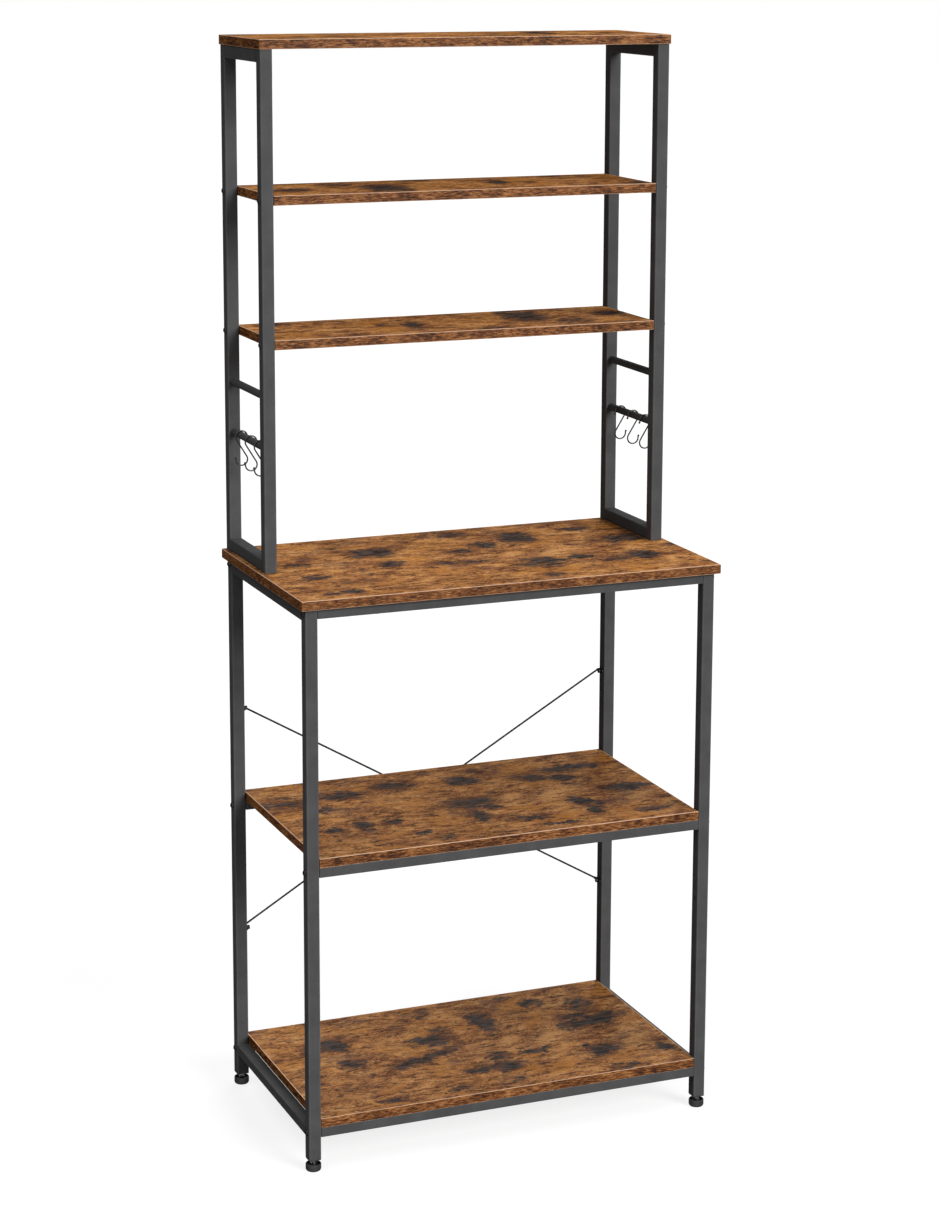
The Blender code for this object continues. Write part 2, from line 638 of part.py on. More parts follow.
def add_hooks():
    for side, sign in SIDES.items():
        for number, setback in enumerate(HOOK_SETBACKS, start=1):
            hook = wire(f"s_hook_{side}_{number}", hook_path(-sign), HOOK_WIRE)
            place = (sign * LEG_X, setback - HUTCH_DEPTH / 2, LOWER_BAR_RISE)
            add_part(hook, BLACK_STEEL, place, anchor=HUTCH)
            shade_round(hook)


add_boards()
add_legs()
add_base_side_rails()
add_long_rails()
add_hutch_sides()
add_hutch_boards()
add_hutch_bolts()
add_brace()
add_brace_screws()
add_feet()
add_hooks()
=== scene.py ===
"""Looks of the kitchen rack: boards, painted frame, fasteners, hooks and feet, and their studio."""

import logging
import math
from dataclasses import dataclass, field
from enum import Enum
from functools import cache
from itertools import product
from typing import Mapping, Optional, Sequence, Union

import bmesh
import bpy
from mathutils import Matrix, Vector


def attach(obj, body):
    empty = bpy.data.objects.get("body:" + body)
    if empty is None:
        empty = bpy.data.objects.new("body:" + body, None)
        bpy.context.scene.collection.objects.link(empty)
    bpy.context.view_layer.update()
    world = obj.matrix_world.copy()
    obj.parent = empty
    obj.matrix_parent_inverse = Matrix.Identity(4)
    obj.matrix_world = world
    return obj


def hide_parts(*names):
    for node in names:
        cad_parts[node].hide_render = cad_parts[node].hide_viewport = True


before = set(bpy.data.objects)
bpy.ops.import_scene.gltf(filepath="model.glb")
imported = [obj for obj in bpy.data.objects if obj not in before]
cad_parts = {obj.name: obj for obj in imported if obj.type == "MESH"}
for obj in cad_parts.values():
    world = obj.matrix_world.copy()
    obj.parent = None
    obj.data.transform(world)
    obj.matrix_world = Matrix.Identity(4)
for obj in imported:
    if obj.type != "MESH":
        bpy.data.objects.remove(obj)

LOG = logging.getLogger("kitchen_rack")
Mesh = bpy.types.Mesh
Node = bpy.types.Node
Tree = bpy.types.NodeTree
Socket = bpy.types.NodeSocket
Outputs = bpy.types.bpy_prop_collection
Feed = Union[float, int, str, Sequence[float], Socket]
Feeds = Mapping[Union[int, str], Feed]
Colour = tuple[float, float, float, float]
Ring = list[Vector]

VECTOR, NUMBER, COLOUR = "NodeSocketVector", "NodeSocketFloat", "NodeSocketColor"
WHOLE, ITEM = "NodeSocketInt", "NodeSocketObject"
WHITE = (1.0, 1.0, 1.0, 1.0)
MILLIMETRES = 1000.0
WELD = 0.000002
HEXAGON = 6


class Slot(Enum):
    """The names of the material slots."""

    BOARD = "board"
    FRAME = "frame_paint"
    BLACK_STEEL = "black_steel"
    PLASTIC = "foot_plastic"
    ZINC = "zinc_steel"


class Row(Enum):
    """A row of uprights, whose value is the sign of its coordinate."""

    @property
    def word(self) -> str:
        """The row as it stands in the names of pieces."""
        return self.name.lower()


class Side(Row):
    """The rack's two ends, along X."""

    LEFT = -1
    RIGHT = 1


class Depth(Row):
    """The front and the back, along Y."""

    FRONT = -1
    BACK = 1


class Way(Enum):
    """The directions that a piece's own Z can be laid along."""

    UP = (0.0, 0.0, 1.0)
    DOWN = (0.0, 0.0, -1.0)
    RIGHT = (1.0, 0.0, 0.0)
    LEFT = (-1.0, 0.0, 0.0)
    BACK = (0.0, 1.0, 0.0)


HERE = Matrix.Identity(4)
TIPPED_BACK = Matrix.Rotation(-math.pi / 2, 4, "X")
TUBE_TURNS = {
    Way.UP: HERE,
    Way.BACK: TIPPED_BACK,
    Way.RIGHT: Matrix.Rotation(-math.pi / 2, 4, "Z") @ TIPPED_BACK,
}


def srgb(*shares: float) -> Colour:
    """Turns a screen colour's red, green and blue, of 0 to 255, into a linear colour."""
    linear = [((v / 255 + 0.055) / 1.055) ** 2.4 if v > 10 else v / 255 / 12.92 for v in shares]
    return (linear[0], linear[1], linear[2], 1.0)


@dataclass(frozen=True)
class Noise:
    """A layer of noise, its scale in features per metre. A stretch below 1 makes them longer along X."""

    scale: float
    detail: float
    roughness: float
    stretch: float = 1.0


@dataclass(frozen=True)
class Stain:
    """A colour that comes in where a value rises from low to high, up to its share."""

    low: float
    high: float
    share: float
    colour: Colour


class Graph:
    """Adds nodes to one node tree and feeds their sockets."""

    def __init__(self, tree: Tree) -> None:
        """Keeps the tree that the nodes go into."""
        self.tree = tree

    def feed(self, node: Node, feeds: Feeds) -> None:
        """Sets or joins a node's inputs, by name or number.

        Args:
            node: the node.
            feeds: values or sockets for its inputs.
        """
        for key, value in feeds.items():
            if isinstance(value, Socket):
                self.tree.links.new(value, node.inputs[key])
            else:
                node.inputs[key].default_value = value

    def add(self, kind: str, feeds: Optional[Feeds] = None, **settings: object) -> Node:
        """Adds a node.

        Args:
            kind: the node's type name.
            feeds: values or sockets for its inputs.
            settings: its other properties.

        Returns:
            The new node.
        """
        node = self.tree.nodes.new(kind)
        for key, setting in settings.items():
            setattr(node, key, setting)
        self.feed(node, feeds or {})
        return node

    def out(self, kind: str, feeds: Optional[Feeds] = None, **settings: object) -> Socket:
        """Adds a node, as add does, and returns its first output."""
        return self.add(kind, feeds, **settings).outputs[0]

    def maths(self, operation: str, *values: Feed) -> Socket:
        """The result of a Math node on these values."""
        return self.out("ShaderNodeMath", dict(enumerate(values)), operation=operation)

    def vectors(self, operation: str, *values: Feed) -> Socket:
        """The result of a Vector Math node on these values."""
        node = self.add("ShaderNodeVectorMath", dict(enumerate(values)), operation=operation)
        return node.outputs["Value" if operation == "LENGTH" else "Vector"]

    def total(self, *terms: tuple[Feed, float], start: float = 0.0) -> Socket:
        """Adds up values, each times its weight, from a start.

        Args:
            terms: the values and their weights.
            start: what the sum starts from.

        Returns:
            The sum.
        """
        result: Feed = start
        for value, weight in terms:
            result = self.maths("MULTIPLY_ADD", value, weight, result)
        return result

    def remap(self, value: Feed, low: float, high: float, start: Feed = 0.0, stop: Feed = 1.0) -> Socket:
        """Eases a value that goes from low to high into one that goes from start to stop, clamped."""
        feeds = {"Value": value, "From Min": low, "From Max": high, "To Min": start, "To Max": stop}
        return self.out("ShaderNodeMapRange", feeds, interpolation_type="SMOOTHSTEP")

    def mix(self, share: Feed, under: Feed, over: Feed, blend: str = "MIX") -> Socket:
        """Lays one colour over another, as far as the share says."""
        node = self.add("ShaderNodeMix", {0: share, 6: under, 7: over}, data_type="RGBA", blend_type=blend)
        return node.outputs[2]

    def stain(self, under: Feed, value: Feed, stain: Stain) -> Socket:
        """Lays a stain over a colour, where the value is high."""
        return self.mix(self.remap(value, stain.low, stain.high, 0.0, stain.share), under, stain.colour)

    def noise(self, place: Feed, layer: Noise, output: str = "Fac") -> Socket:
        """Adds a layer of noise.

        Args:
            place: the coordinates, in metres.
            layer: the layer.
            output: Fac for a value, Color for a colour.

        Returns:
            The value or the colour.
        """
        if layer.stretch != 1.0:
            place = self.vectors("MULTIPLY", place, (layer.stretch, 1.0, 1.0))
        feeds = {"Scale": layer.scale, "Detail": layer.detail, "Roughness": layer.roughness}
        return self.add("ShaderNodeTexNoise", {"Vector": place, **feeds}).outputs[output]

    def channels(self, place: Feed, layer: Noise) -> Outputs:
        """Three values that one layer of noise gives, each with its own pattern."""
        return self.add("ShaderNodeSeparateColor", {"Color": self.noise(place, layer, "Color")}).outputs

    def drift(self, place: Feed, pushes: Mapping[Noise, float]) -> Socket:
        """Pushes coordinates about in plan, so that what is drawn on them looks grown.

        Args:
            place: the coordinates, in metres.
            pushes: layers of noise, with how far each one pushes.

        Returns:
            The new coordinates.
        """
        bent = place
        for layer, reach in pushes.items():
            push = self.vectors("SUBTRACT", self.noise(place, layer, "Color"), (0.5, 0.5, 0.5))
            bent = self.vectors("ADD", bent, self.vectors("MULTIPLY", push, (reach, reach, 0.0)))
        return bent

    def ramp(self, value: Feed, stops: Mapping[float, Colour]) -> Socket:
        """Colours a value by a ramp.

        Args:
            value: the place on the ramp.
            stops: places from 0 to 1 and their colours.

        Returns:
            The colour.
        """
        node = self.add("ShaderNodeValToRGB", {"Fac": value})
        elements = node.color_ramp.elements
        while len(elements) < len(stops):
            elements.new(0.5)
        for element, (place, colour) in zip(elements, stops.items()):
            element.position = place
            element.color = colour
        return node.outputs["Color"]

    def object_place(self, feeds: Optional[Feeds] = None) -> Socket:
        """The object's own coordinates, through a Mapping node if it has feeds."""
        place = self.add("ShaderNodeTexCoord").outputs["Object"]
        return self.out("ShaderNodeMapping", {"Vector": place, **feeds}) if feeds else place

    def use(self, group: Tree, feeds: Feeds) -> Outputs:
        """Places a shader group and returns its outputs."""
        return self.add("ShaderNodeGroup", feeds, node_tree=group).outputs

    def join(self, *parts: Socket) -> Socket:
        """Joins geometries into one.

        Args:
            parts: the geometries.

        Returns:
            All of them as one.
        """
        node = self.add("GeometryNodeJoinGeometry")
        for part in parts:
            self.tree.links.new(part, node.inputs[0])
        return node.outputs[0]


class ShaderGroup(Graph):
    """An effect that several materials use, as a node group with named inputs and outputs."""

    def __init__(self, name: str, inputs: Mapping[str, str], outputs: Mapping[str, str]) -> None:
        """Makes the empty group.

        Args:
            name: the group's name.
            inputs: its inputs' names and socket types.
            outputs: its outputs' names and socket types.
        """
        super().__init__(bpy.data.node_groups.new(name, "ShaderNodeTree"))
        for way, sockets in (("INPUT", inputs), ("OUTPUT", outputs)):
            for label, kind in sockets.items():
                self.tree.interface.new_socket(label, in_out=way, socket_type=kind)
        self.given = self.add("NodeGroupInput").outputs

    def finish(self, results: Feeds) -> Tree:
        """Joins the results to the group's outputs and returns its tree."""
        self.add("NodeGroupOutput", results)
        return self.tree


PRINT_DRIFT = {Noise(14.0, 2, 0.5): 0.022, Noise(52.0, 2, 0.5): 0.010}
KNOT_DRIFT = {Noise(30.0, 3, 0.6): 0.045, Noise(95.0, 3, 0.6): 0.028}
ZONES = Noise(13, 3, 0.6, 0.75)
CLOUDS = Noise(52, 4, 0.66, 0.40)
STREAKS = Noise(160, 4, 0.68, 0.30)
FIBRES = Noise(560, 3, 0.7, 0.34)
HUES = Noise(19, 4, 0.62, 0.7)
SPECKS = Noise(125, 4, 0.64, 0.30)
PITS = Noise(430, 3, 0.7, 0.45)
SMOKE = Noise(38, 4, 0.7, 0.5)
EDGE_SPECKS = Noise(600, 4, 0.74, 0.15)
EDGE_CLOUDS = Noise(40, 3, 0.6, 0.5)
FILM_CLOUDS = Noise(21, 3, 0.6)

RUST = Stain(0.50, 0.66, 0.48, srgb(118, 72, 50))
PLUM = Stain(0.55, 0.69, 0.55, srgb(94, 72, 66))
GOLD = Stain(0.50, 0.66, 0.55, srgb(200, 132, 58))
DASH = Stain(0.55, 0.63, 0.82, srgb(54, 34, 27))
FLECK = Stain(0.56, 0.66, 0.48, srgb(222, 162, 92))
PIT = Stain(0.56, 0.64, 0.55, srgb(70, 42, 28))
SOOT = Stain(0.60, 0.72, 0.60, srgb(70, 54, 48))
KNOT_HALO = Stain(0.08, 0.50, 0.72, srgb(84, 55, 42))

WOOD_RAMP = {
    0.04: srgb(76, 47, 34),
    0.26: srgb(122, 78, 50),
    0.48: srgb(160, 104, 58),
    0.72: srgb(190, 130, 74),
    0.97: srgb(214, 158, 98),
}
EDGE_RAMP = {
    0.50: srgb(44, 24, 14),
    0.56: srgb(80, 46, 25),
    0.62: srgb(118, 73, 40),
    0.68: srgb(150, 98, 55),
    0.76: srgb(186, 134, 84),
}
CHARCOAL, ASH = srgb(27, 23, 22), srgb(76, 69, 66)


@cache
def knot_group() -> Tree:
    """One soft-edged oval mark of the printed wood, as a mask.

    Returns:
        The group's tree.
    """
    numbers = {label: NUMBER for label in ("Turn", "Depth", "Under")}
    inputs = {"Vector": VECTOR, "Centre": VECTOR, "Half Size": VECTOR, **numbers}
    group = ShaderGroup("printed_knot", inputs, {"Mask": NUMBER})
    given = group.given
    place = group.vectors("SUBTRACT", given["Vector"], given["Centre"])
    feeds = {"Vector": place, "Angle": given["Turn"]}
    turned = group.out("ShaderNodeVectorRotate", feeds, rotation_type="Z_AXIS")
    reach = group.vectors("LENGTH", group.vectors("DIVIDE", turned, given["Half Size"]))
    mask = group.remap(reach, 0.2, 2.0, given["Depth"], 0.0)
    return group.finish({"Mask": group.maths("MAXIMUM", mask, given["Under"])})


@cache
def board_print_group() -> Tree:
    """The printed wood: golden and rust zones, short dark streaks along X, and smoky charcoal knots.

    Returns:
        The group's tree.
    """
    outputs = {"Color": COLOUR, "Roughness": NUMBER, "Height": NUMBER}
    group = ShaderGroup("rustic_wood_print", {"Vector": VECTOR, "Knots": NUMBER}, outputs)
    place, marks = group.given["Vector"], group.given["Knots"]
    bent = group.drift(place, PRINT_DRIFT)
    zone, cloud, streak, fibre = (group.noise(bent, layer) for layer in (ZONES, CLOUDS, STREAKS, FIBRES))
    tone = group.remap(group.total((cloud, 0.52), (zone, 0.38), (streak, 0.36), (fibre, 0.62)), 0.76, 1.09)
    hues, specks = group.channels(place, HUES), group.channels(bent, SPECKS)
    pits, smoke = group.noise(bent, PITS), group.channels(bent, SMOKE)[1]
    stains = [(hues[0], RUST), (hues[1], PLUM), (hues[2], GOLD), (specks[2], DASH), (specks[1], FLECK)]
    wood = group.ramp(tone, WOOD_RAMP)
    for value, stain in (*stains, (pits, PIT), (smoke, SOOT)):
        wood = group.stain(wood, value, stain)
    ragged = group.total((cloud, 2.4), (streak, 2.8), start=-2.60)
    near = group.maths("MINIMUM", group.maths("MULTIPLY", marks, 3.0), 1.0)
    knots = group.maths("MULTIPLY_ADD", ragged, near, marks)
    wood = group.stain(wood, knots, KNOT_HALO)
    charcoal = group.mix(group.remap(specks[0], 0.40, 0.60), CHARCOAL, ASH)
    wood = group.mix(group.remap(knots, 0.42, 0.70, 0.0, 0.93), wood, charcoal)
    rough = group.remap(tone, 0.1, 0.9, 0.56, 0.46)
    height = group.total((fibre, 1.0), (specks[2], -0.8))
    return group.finish({"Color": wood, "Roughness": rough, "Height": height})


@cache
def edge_grain_group() -> Tree:
    """The banded edges' grain: short dark and golden dashes, long along X.

    Returns:
        The group's tree.
    """
    group = ShaderGroup("edge_grain", {"Vector": VECTOR}, {"Color": COLOUR, "Height": NUMBER})
    speck, cloud = (group.noise(group.given["Vector"], layer) for layer in (EDGE_SPECKS, EDGE_CLOUDS))
    colour = group.ramp(group.total((speck, 0.92), (cloud, 0.32)), EDGE_RAMP)
    return group.finish({"Color": colour, "Height": speck})


@cache
def film_group() -> Tree:
    """The fine grain and faint mottling of a sprayed, coated or moulded surface.

    Returns:
        The group's tree.
    """
    outputs = {"Mottle": NUMBER, "Height": NUMBER}
    group = ShaderGroup("film_grain", {"Vector": VECTOR, "Grain": NUMBER}, outputs)
    place, grain = group.given["Vector"], group.given["Grain"]
    peel = group.out("ShaderNodeTexNoise", {"Vector": place, "Scale": grain, "Detail": 2.0})
    fine = group.maths("MULTIPLY", grain, 3.7)
    grit = group.out("ShaderNodeTexNoise", {"Vector": place, "Scale": fine, "Detail": 1.0})
    mottle = group.total((group.noise(place, FILM_CLOUDS), 1.0), (grit, 0.5), start=-0.25)
    return group.finish({"Mottle": mottle, "Height": group.total((peel, 1.0), (grit, 0.4))})


@dataclass(frozen=True)
class Finish:
    """A surface finish. Its material is built on its first use."""

    name: str
    slot: Slot

    def material(self) -> bpy.types.Material:
        """The finish's material.

        Returns:
            The material.
        """
        material = bpy.data.materials.get(self.name)
        if not material:
            material = bpy.data.materials.new(self.name)
            material.use_nodes = True
            self.dress(Graph(material.node_tree), material.node_tree.nodes["Principled BSDF"])
        return material

    def dress(self, graph: Graph, shader: Node) -> None:
        """Feeds the shader; each kind of finish has its own way."""
        raise NotImplementedError

    def coat(
        self,
        graph: Graph,
        shader: Node,
        feeds: Feeds,
        specular: float,
        height: Feed,
        depth: float,
        strength: float,
    ) -> None:
        """Feeds the shader, its specular level eased at a glancing view, where the studio would bleach it.

        Args:
            graph: the material's graph.
            shader: its shader.
            feeds: values or sockets for the shader's other inputs.
            specular: the specular level seen straight on.
            height: what the surface's bump follows.
            depth: how deep the bump is, in metres.
            strength: how strongly it shows.
        """
        facing = graph.add("ShaderNodeLayerWeight", {"Blend": 0.5}).outputs["Facing"]
        eased = graph.maths("POWER", graph.maths("SUBTRACT", 1.0, facing), 4.0)
        bump = graph.out("ShaderNodeBump", {"Height": height, "Distance": depth, "Strength": strength})
        sheen = graph.maths("MULTIPLY", eased, specular)
        graph.feed(shader, {**feeds, "Specular IOR Level": sheen, "Normal": bump})


@dataclass(frozen=True)
class Knot:
    """A dark mark in the board's print, in millimetres of the print."""

    x: float
    y: float
    half_length: float
    half_width: float
    depth: float
    turn: float = 0.0


def knots(*marks: tuple[float, ...]) -> tuple[Knot, ...]:
    """The knots of a print, each from its values in order."""
    return tuple(Knot(*mark) for mark in marks)


WORKTOP_KNOTS = knots(
    (-140, 80, 32, 28, 1.0), (-135, -5, 20, 16, 0.9), (50, 70, 22, 22, 0.85), (5, 40, 28, 14, 0.75),
    (-25, -35, 50, 14, 0.75, 0.12), (35, 160, 26, 20, 0.65), (-280, 35, 18, 16, 0.7),
    (-275, -55, 18, 10, 0.95), (-255, -160, 14, 16, 0.95), (-290, -170, 18, 10, 0.6),
    (-215, -100, 20, 10, 0.5), (10, 190, 26, 10, 0.5), (-190, 135, 24, 10, 0.4),
    (125, 100, 26, 40, 1.0, 0.35), (95, -80, 40, 30, 0.8), (105, -65, 20, 18, 1.0),
    (165, -70, 28, 10, 0.8), (270, -90, 24, 22, 1.0), (290, 40, 42, 26, 0.85), (240, 130, 24, 14, 0.8),
    (210, -105, 36, 10, 0.6), (75, -165, 20, 16, 0.5), (345, -40, 24, 14, 0.6),
)
MIDDLE_KNOTS = knots(
    (-185, 100, 36, 22, 0.85), (-85, 120, 34, 24, 0.7), (30, 100, 26, 20, 0.95), (-230, 30, 18, 8, 1.0),
    (-205, -65, 12, 28, 0.9), (-255, -70, 16, 12, 0.8), (-155, -60, 14, 12, 1.0),
    (-130, -130, 12, 8, 0.95), (-5, -15, 40, 24, 0.85), (-15, -80, 14, 26, 0.85),
    (-105, -165, 20, 12, 0.7), (-290, 90, 36, 30, 0.6), (70, 145, 12, 14, 0.7), (195, 60, 18, 16, 1.0),
    (220, 105, 54, 16, 0.75), (140, 75, 24, 16, 0.8), (175, -80, 26, 16, 1.0, 0.5),
    (175, -120, 14, 18, 0.9), (275, -30, 38, 16, 0.95), (265, -145, 26, 12, 0.8),
    (60, -125, 24, 12, 1.0), (20, -45, 14, 14, 1.0), (95, -165, 34, 6, 0.8),
)
BOTTOM_KNOTS = knots(
    (-210, 75, 24, 26, 0.85), (-205, -5, 18, 14, 0.8), (-50, 35, 34, 16, 0.9), (-20, 68, 16, 20, 0.5),
    (60, 85, 18, 42, 0.8), (170, 128, 20, 14, 0.8), (-25, 150, 14, 16, 0.6),
    (-80, -25, 56, 12, 0.9, -0.36), (30, -62, 18, 16, 0.8), (30, -105, 24, 16, 1.0),
    (-15, -105, 26, 12, 0.7), (92, -62, 36, 8, 0.95, -0.15), (200, -100, 22, 22, 1.0),
    (238, 22, 50, 18, 1.0, -0.25), (212, 52, 20, 14, 0.8), (245, 90, 20, 34, 0.6),
    (-190, -165, 18, 10, 0.8), (-80, -165, 16, 8, 0.7), (20, -160, 20, 20, 0.5),
    (215, -178, 26, 12, 0.8), (300, -130, 16, 14, 0.6), (130, 165, 16, 12, 0.5),
)
HUTCH_KNOTS = knots(
    (-115, 60, 34, 56, 0.9), (-175, 140, 30, 18, 0.6), (-270, 85, 30, 24, 0.8),
    (-240, 180, 26, 12, 0.5), (88, 105, 16, 34, 0.9), (138, 92, 12, 8, 0.6), (210, 130, 30, 10, 0.45),
    (215, 172, 16, 12, 0.6), (300, 20, 22, 20, 0.8), (-20, 180, 24, 10, 0.6),
)
TOP_KNOTS = knots(
    (165, 115, 20, 40, 0.9), (175, 165, 30, 16, 0.6), (75, 80, 14, 10, 0.6), (112, 85, 22, 8, 0.6),
    (-180, 65, 46, 12, 0.5), (40, 30, 50, 12, 0.45), (130, 25, 16, 12, 0.6), (272, 95, 24, 14, 0.5),
    (-285, 15, 34, 10, 0.6), (-320, 175, 24, 14, 0.6),
)


@dataclass(frozen=True)
class Laminate(Finish):
    """A board's printed faces. The shift and the turn say how the board was cut from the print."""

    marks: tuple[Knot, ...]
    # Darkens the whole print: partly the board's own tone, partly painted shade where a board lies under
    # others.
    shade: float
    shift: tuple[float, float] = (0.0, 0.0)
    turn: float = 0.0

    def dress(self, graph: Graph, shader: Node) -> None:
        """Prints the wood, with its knots where the marks are.

        Args:
            graph: the material's graph.
            shader: its shader.
        """
        flat = (1.0, 1.0, 0.0)
        cut = {"Location": (*self.shift, 0.0), "Rotation": (0.0, 0.0, self.turn), "Scale": flat}
        place = graph.object_place(cut)
        ragged = graph.drift(place, KNOT_DRIFT)
        mask: Feed = 0.0
        for mark in self.marks:
            feeds = {
                "Vector": ragged,
                "Centre": (mark.x / MILLIMETRES, mark.y / MILLIMETRES, 0.0),
                "Half Size": (mark.half_length / MILLIMETRES, mark.half_width / MILLIMETRES, 1.0),
                "Turn": mark.turn,
                "Depth": mark.depth,
                "Under": mask,
            }
            mask = graph.use(knot_group(), feeds)["Mask"]
        wood = graph.use(board_print_group(), {"Vector": place, "Knots": mask})
        # The print is darkened by the board's tone and by painted shade.
        colour = graph.mix(1.0, wood["Color"], (self.shade, self.shade, self.shade, 1.0), "MULTIPLY")
        feeds = {"Base Color": colour, "Roughness": wood["Roughness"]}
        self.coat(graph, shader, feeds, specular=0.35, height=wood["Height"], depth=0.00014, strength=0.8)


@dataclass(frozen=True)
class EdgeBand(Finish):
    """A board's banded edges. The turn lays the grain along the edge, and the pale edge share makes it
    paler.
    """

    turn: float = 0.0
    tint: Colour = (0.78, 0.75, 0.74, 1.0)
    wear: float = 0.0

    def dress(self, graph: Graph, shader: Node) -> None:
        """Speckles the edge.

        Args:
            graph: the material's graph.
            shader: its shader.
        """
        place = graph.object_place({"Rotation": (0.0, 0.0, self.turn)})
        grain = graph.use(edge_grain_group(), {"Vector": place})
        colour = graph.mix(1.0, grain["Color"], self.tint, "MULTIPLY")
        colour = graph.mix(self.wear, colour, srgb(226, 188, 158))
        feeds = {"Base Color": colour, "Roughness": 0.5}
        self.coat(graph, shader, feeds, specular=0.2, height=grain["Height"], depth=0.00008, strength=0.6)


@dataclass(frozen=True)
class Coating(Finish):
    """A paint, a coating or a moulded plastic: one colour with fine grain, paler on round corners as a
    painted highlight.
    """

    colour: Colour
    pale: Colour
    grain: float
    depth: float
    roughness: float
    specular: float
    metallic: float = 0.0
    wear: float = 0.0

    def dress(self, graph: Graph, shader: Node) -> None:
        """Colours and roughens the film, and paints a highlight on the round corners by the piece's corner
        attribute.

        Args:
            graph: the material's graph.
            shader: its shader.
        """
        film = graph.use(film_group(), {"Vector": graph.object_place(), "Grain": self.grain})
        mottle = film["Mottle"]
        colour = graph.mix(graph.remap(mottle, 0.25, 0.85, 0.0, 0.35), self.colour, self.pale)
        # Painted highlight: the round corners are lightened towards the pale colour.
        if self.wear:
            corner = graph.add("ShaderNodeAttribute", attribute_name="corner").outputs["Fac"]
            share = graph.maths("MULTIPLY", corner, graph.remap(mottle, 0.2, 0.8, 0.5, 1.0))
            colour = graph.mix(graph.maths("MULTIPLY", share, self.wear), colour, self.pale)
        rough = graph.remap(mottle, 0.2, 0.8, self.roughness - 0.05, self.roughness + 0.06)
        feeds = {"Base Color": colour, "Roughness": rough, "Metallic": self.metallic}
        self.coat(graph, shader, feeds, self.specular, film["Height"], self.depth, strength=0.7)


WORKTOP_LAMINATE = Laminate("worktop_laminate", Slot.BOARD, WORKTOP_KNOTS, 0.89)
# The middle and bottom shelves are darkened most: painted shade from the boards above them.
MIDDLE_LAMINATE = Laminate("middle_laminate", Slot.BOARD, MIDDLE_KNOTS, 0.70)
BOTTOM_LAMINATE = Laminate("bottom_laminate", Slot.BOARD, BOTTOM_KNOTS, 0.71)
TOP_LAMINATE = Laminate("top_laminate", Slot.BOARD, TOP_KNOTS, 0.86)
UPPER_LAMINATE = Laminate("upper_laminate", Slot.BOARD, HUTCH_KNOTS, 0.82)
LOWER_LAMINATE = Laminate("lower_laminate", Slot.BOARD, HUTCH_KNOTS, 0.82, (0.030, 0.190), math.pi)
BAND_ALONG_X = EdgeBand("edge_band_along_x", Slot.BOARD)
BAND_ALONG_Y = EdgeBand("edge_band_along_y", Slot.BOARD, turn=math.pi / 2)
ARRIS = EdgeBand("pale_board_arris", Slot.BOARD, tint=WHITE, wear=0.72)
# Its pale edge share is a painted highlight on the tubes' round corners.
FRAME_PAINT = Coating(
    "charcoal_powder_coat", Slot.FRAME, srgb(67, 67, 68), srgb(98, 98, 98),
    grain=620.0, depth=0.00005, roughness=0.50, specular=0.14, wear=0.55,
)
BLACK_STEEL = Coating(
    "black_coated_steel", Slot.BLACK_STEEL, srgb(16, 16, 17), srgb(38, 38, 40),
    grain=900.0, depth=0.00002, roughness=0.26, specular=0.42,
)
HOOK_STEEL = Coating(
    "black_dipped_wire", Slot.BLACK_STEEL, srgb(12, 12, 13), srgb(28, 28, 30),
    grain=1400.0, depth=0.00002, roughness=0.16, specular=0.8,
)
FOOT_PLASTIC = Coating(
    "moulded_black_plastic", Slot.PLASTIC, srgb(42, 42, 44), srgb(72, 72, 74),
    grain=1500.0, depth=0.00003, roughness=0.34, specular=0.7,
)
ZINC = Coating(
    "dull_zinc_plate", Slot.ZINC, srgb(150, 151, 152), srgb(200, 200, 200),
    grain=1800.0, depth=0.00002, roughness=0.30, specular=0.5, metallic=1.0,
)


def linked(name: str, data: bpy.types.ID) -> bpy.types.Object:
    """A new object in the scene, of a mesh, a lamp or a camera.

    Args:
        name: its name.
        data: its mesh, lamp or camera.

    Returns:
        The object.
    """
    made = bpy.data.objects.new(name, data)
    bpy.context.scene.collection.objects.link(made)
    return made


def final_mesh(piece: bpy.types.Object) -> Mesh:
    """A copy of an object's mesh, with its modifiers applied.

    Args:
        piece: the object.

    Returns:
        The mesh.
    """
    graph = bpy.context.evaluated_depsgraph_get()
    shown = piece.evaluated_get(graph)
    return bpy.data.meshes.new_from_object(shown, preserve_all_data_layers=True, depsgraph=graph)


def skin(name: str, rings: Sequence[Ring], place: Matrix = HERE, loop: bool = False) -> Mesh:
    """Skins a row of rings that have the same number of points.

    Args:
        name: the mesh's name.
        rings: the rings, in order.
        place: where the mesh goes.
        loop: joins the last ring to the first instead of closing both ends.

    Returns:
        The mesh, welded and with its faces pointing outwards.
    """
    sides = len(rings[0])
    starts = range(0, len(rings) * sides, sides)
    pairs = list(zip(starts, starts[1:]))
    if loop:
        pairs.append((starts[-1], starts[0]))
    steps = [(side, (side + 1) % sides) for side in range(sides)]
    quads = ((low, high, side, after) for low, high in pairs for side, after in steps)
    faces = [(low + side, low + after, high + after, high + side) for low, high, side, after in quads]
    if not loop:
        faces.append(tuple(reversed(range(sides))))
        faces.append(tuple(range(starts[-1], starts[-1] + sides)))
    mesh = bpy.data.meshes.new(name)
    mesh.from_pydata([place @ point for ring in rings for point in ring], [], faces)
    tidy = bmesh.new()
    tidy.from_mesh(mesh)
    bmesh.ops.remove_doubles(tidy, verts=tidy.verts, dist=WELD)
    bmesh.ops.dissolve_degenerate(tidy, edges=tidy.edges, dist=WELD / 2)
    bmesh.ops.recalc_face_normals(tidy, faces=tidy.faces)
    tidy.to_mesh(mesh)
    tidy.free()
    return mesh


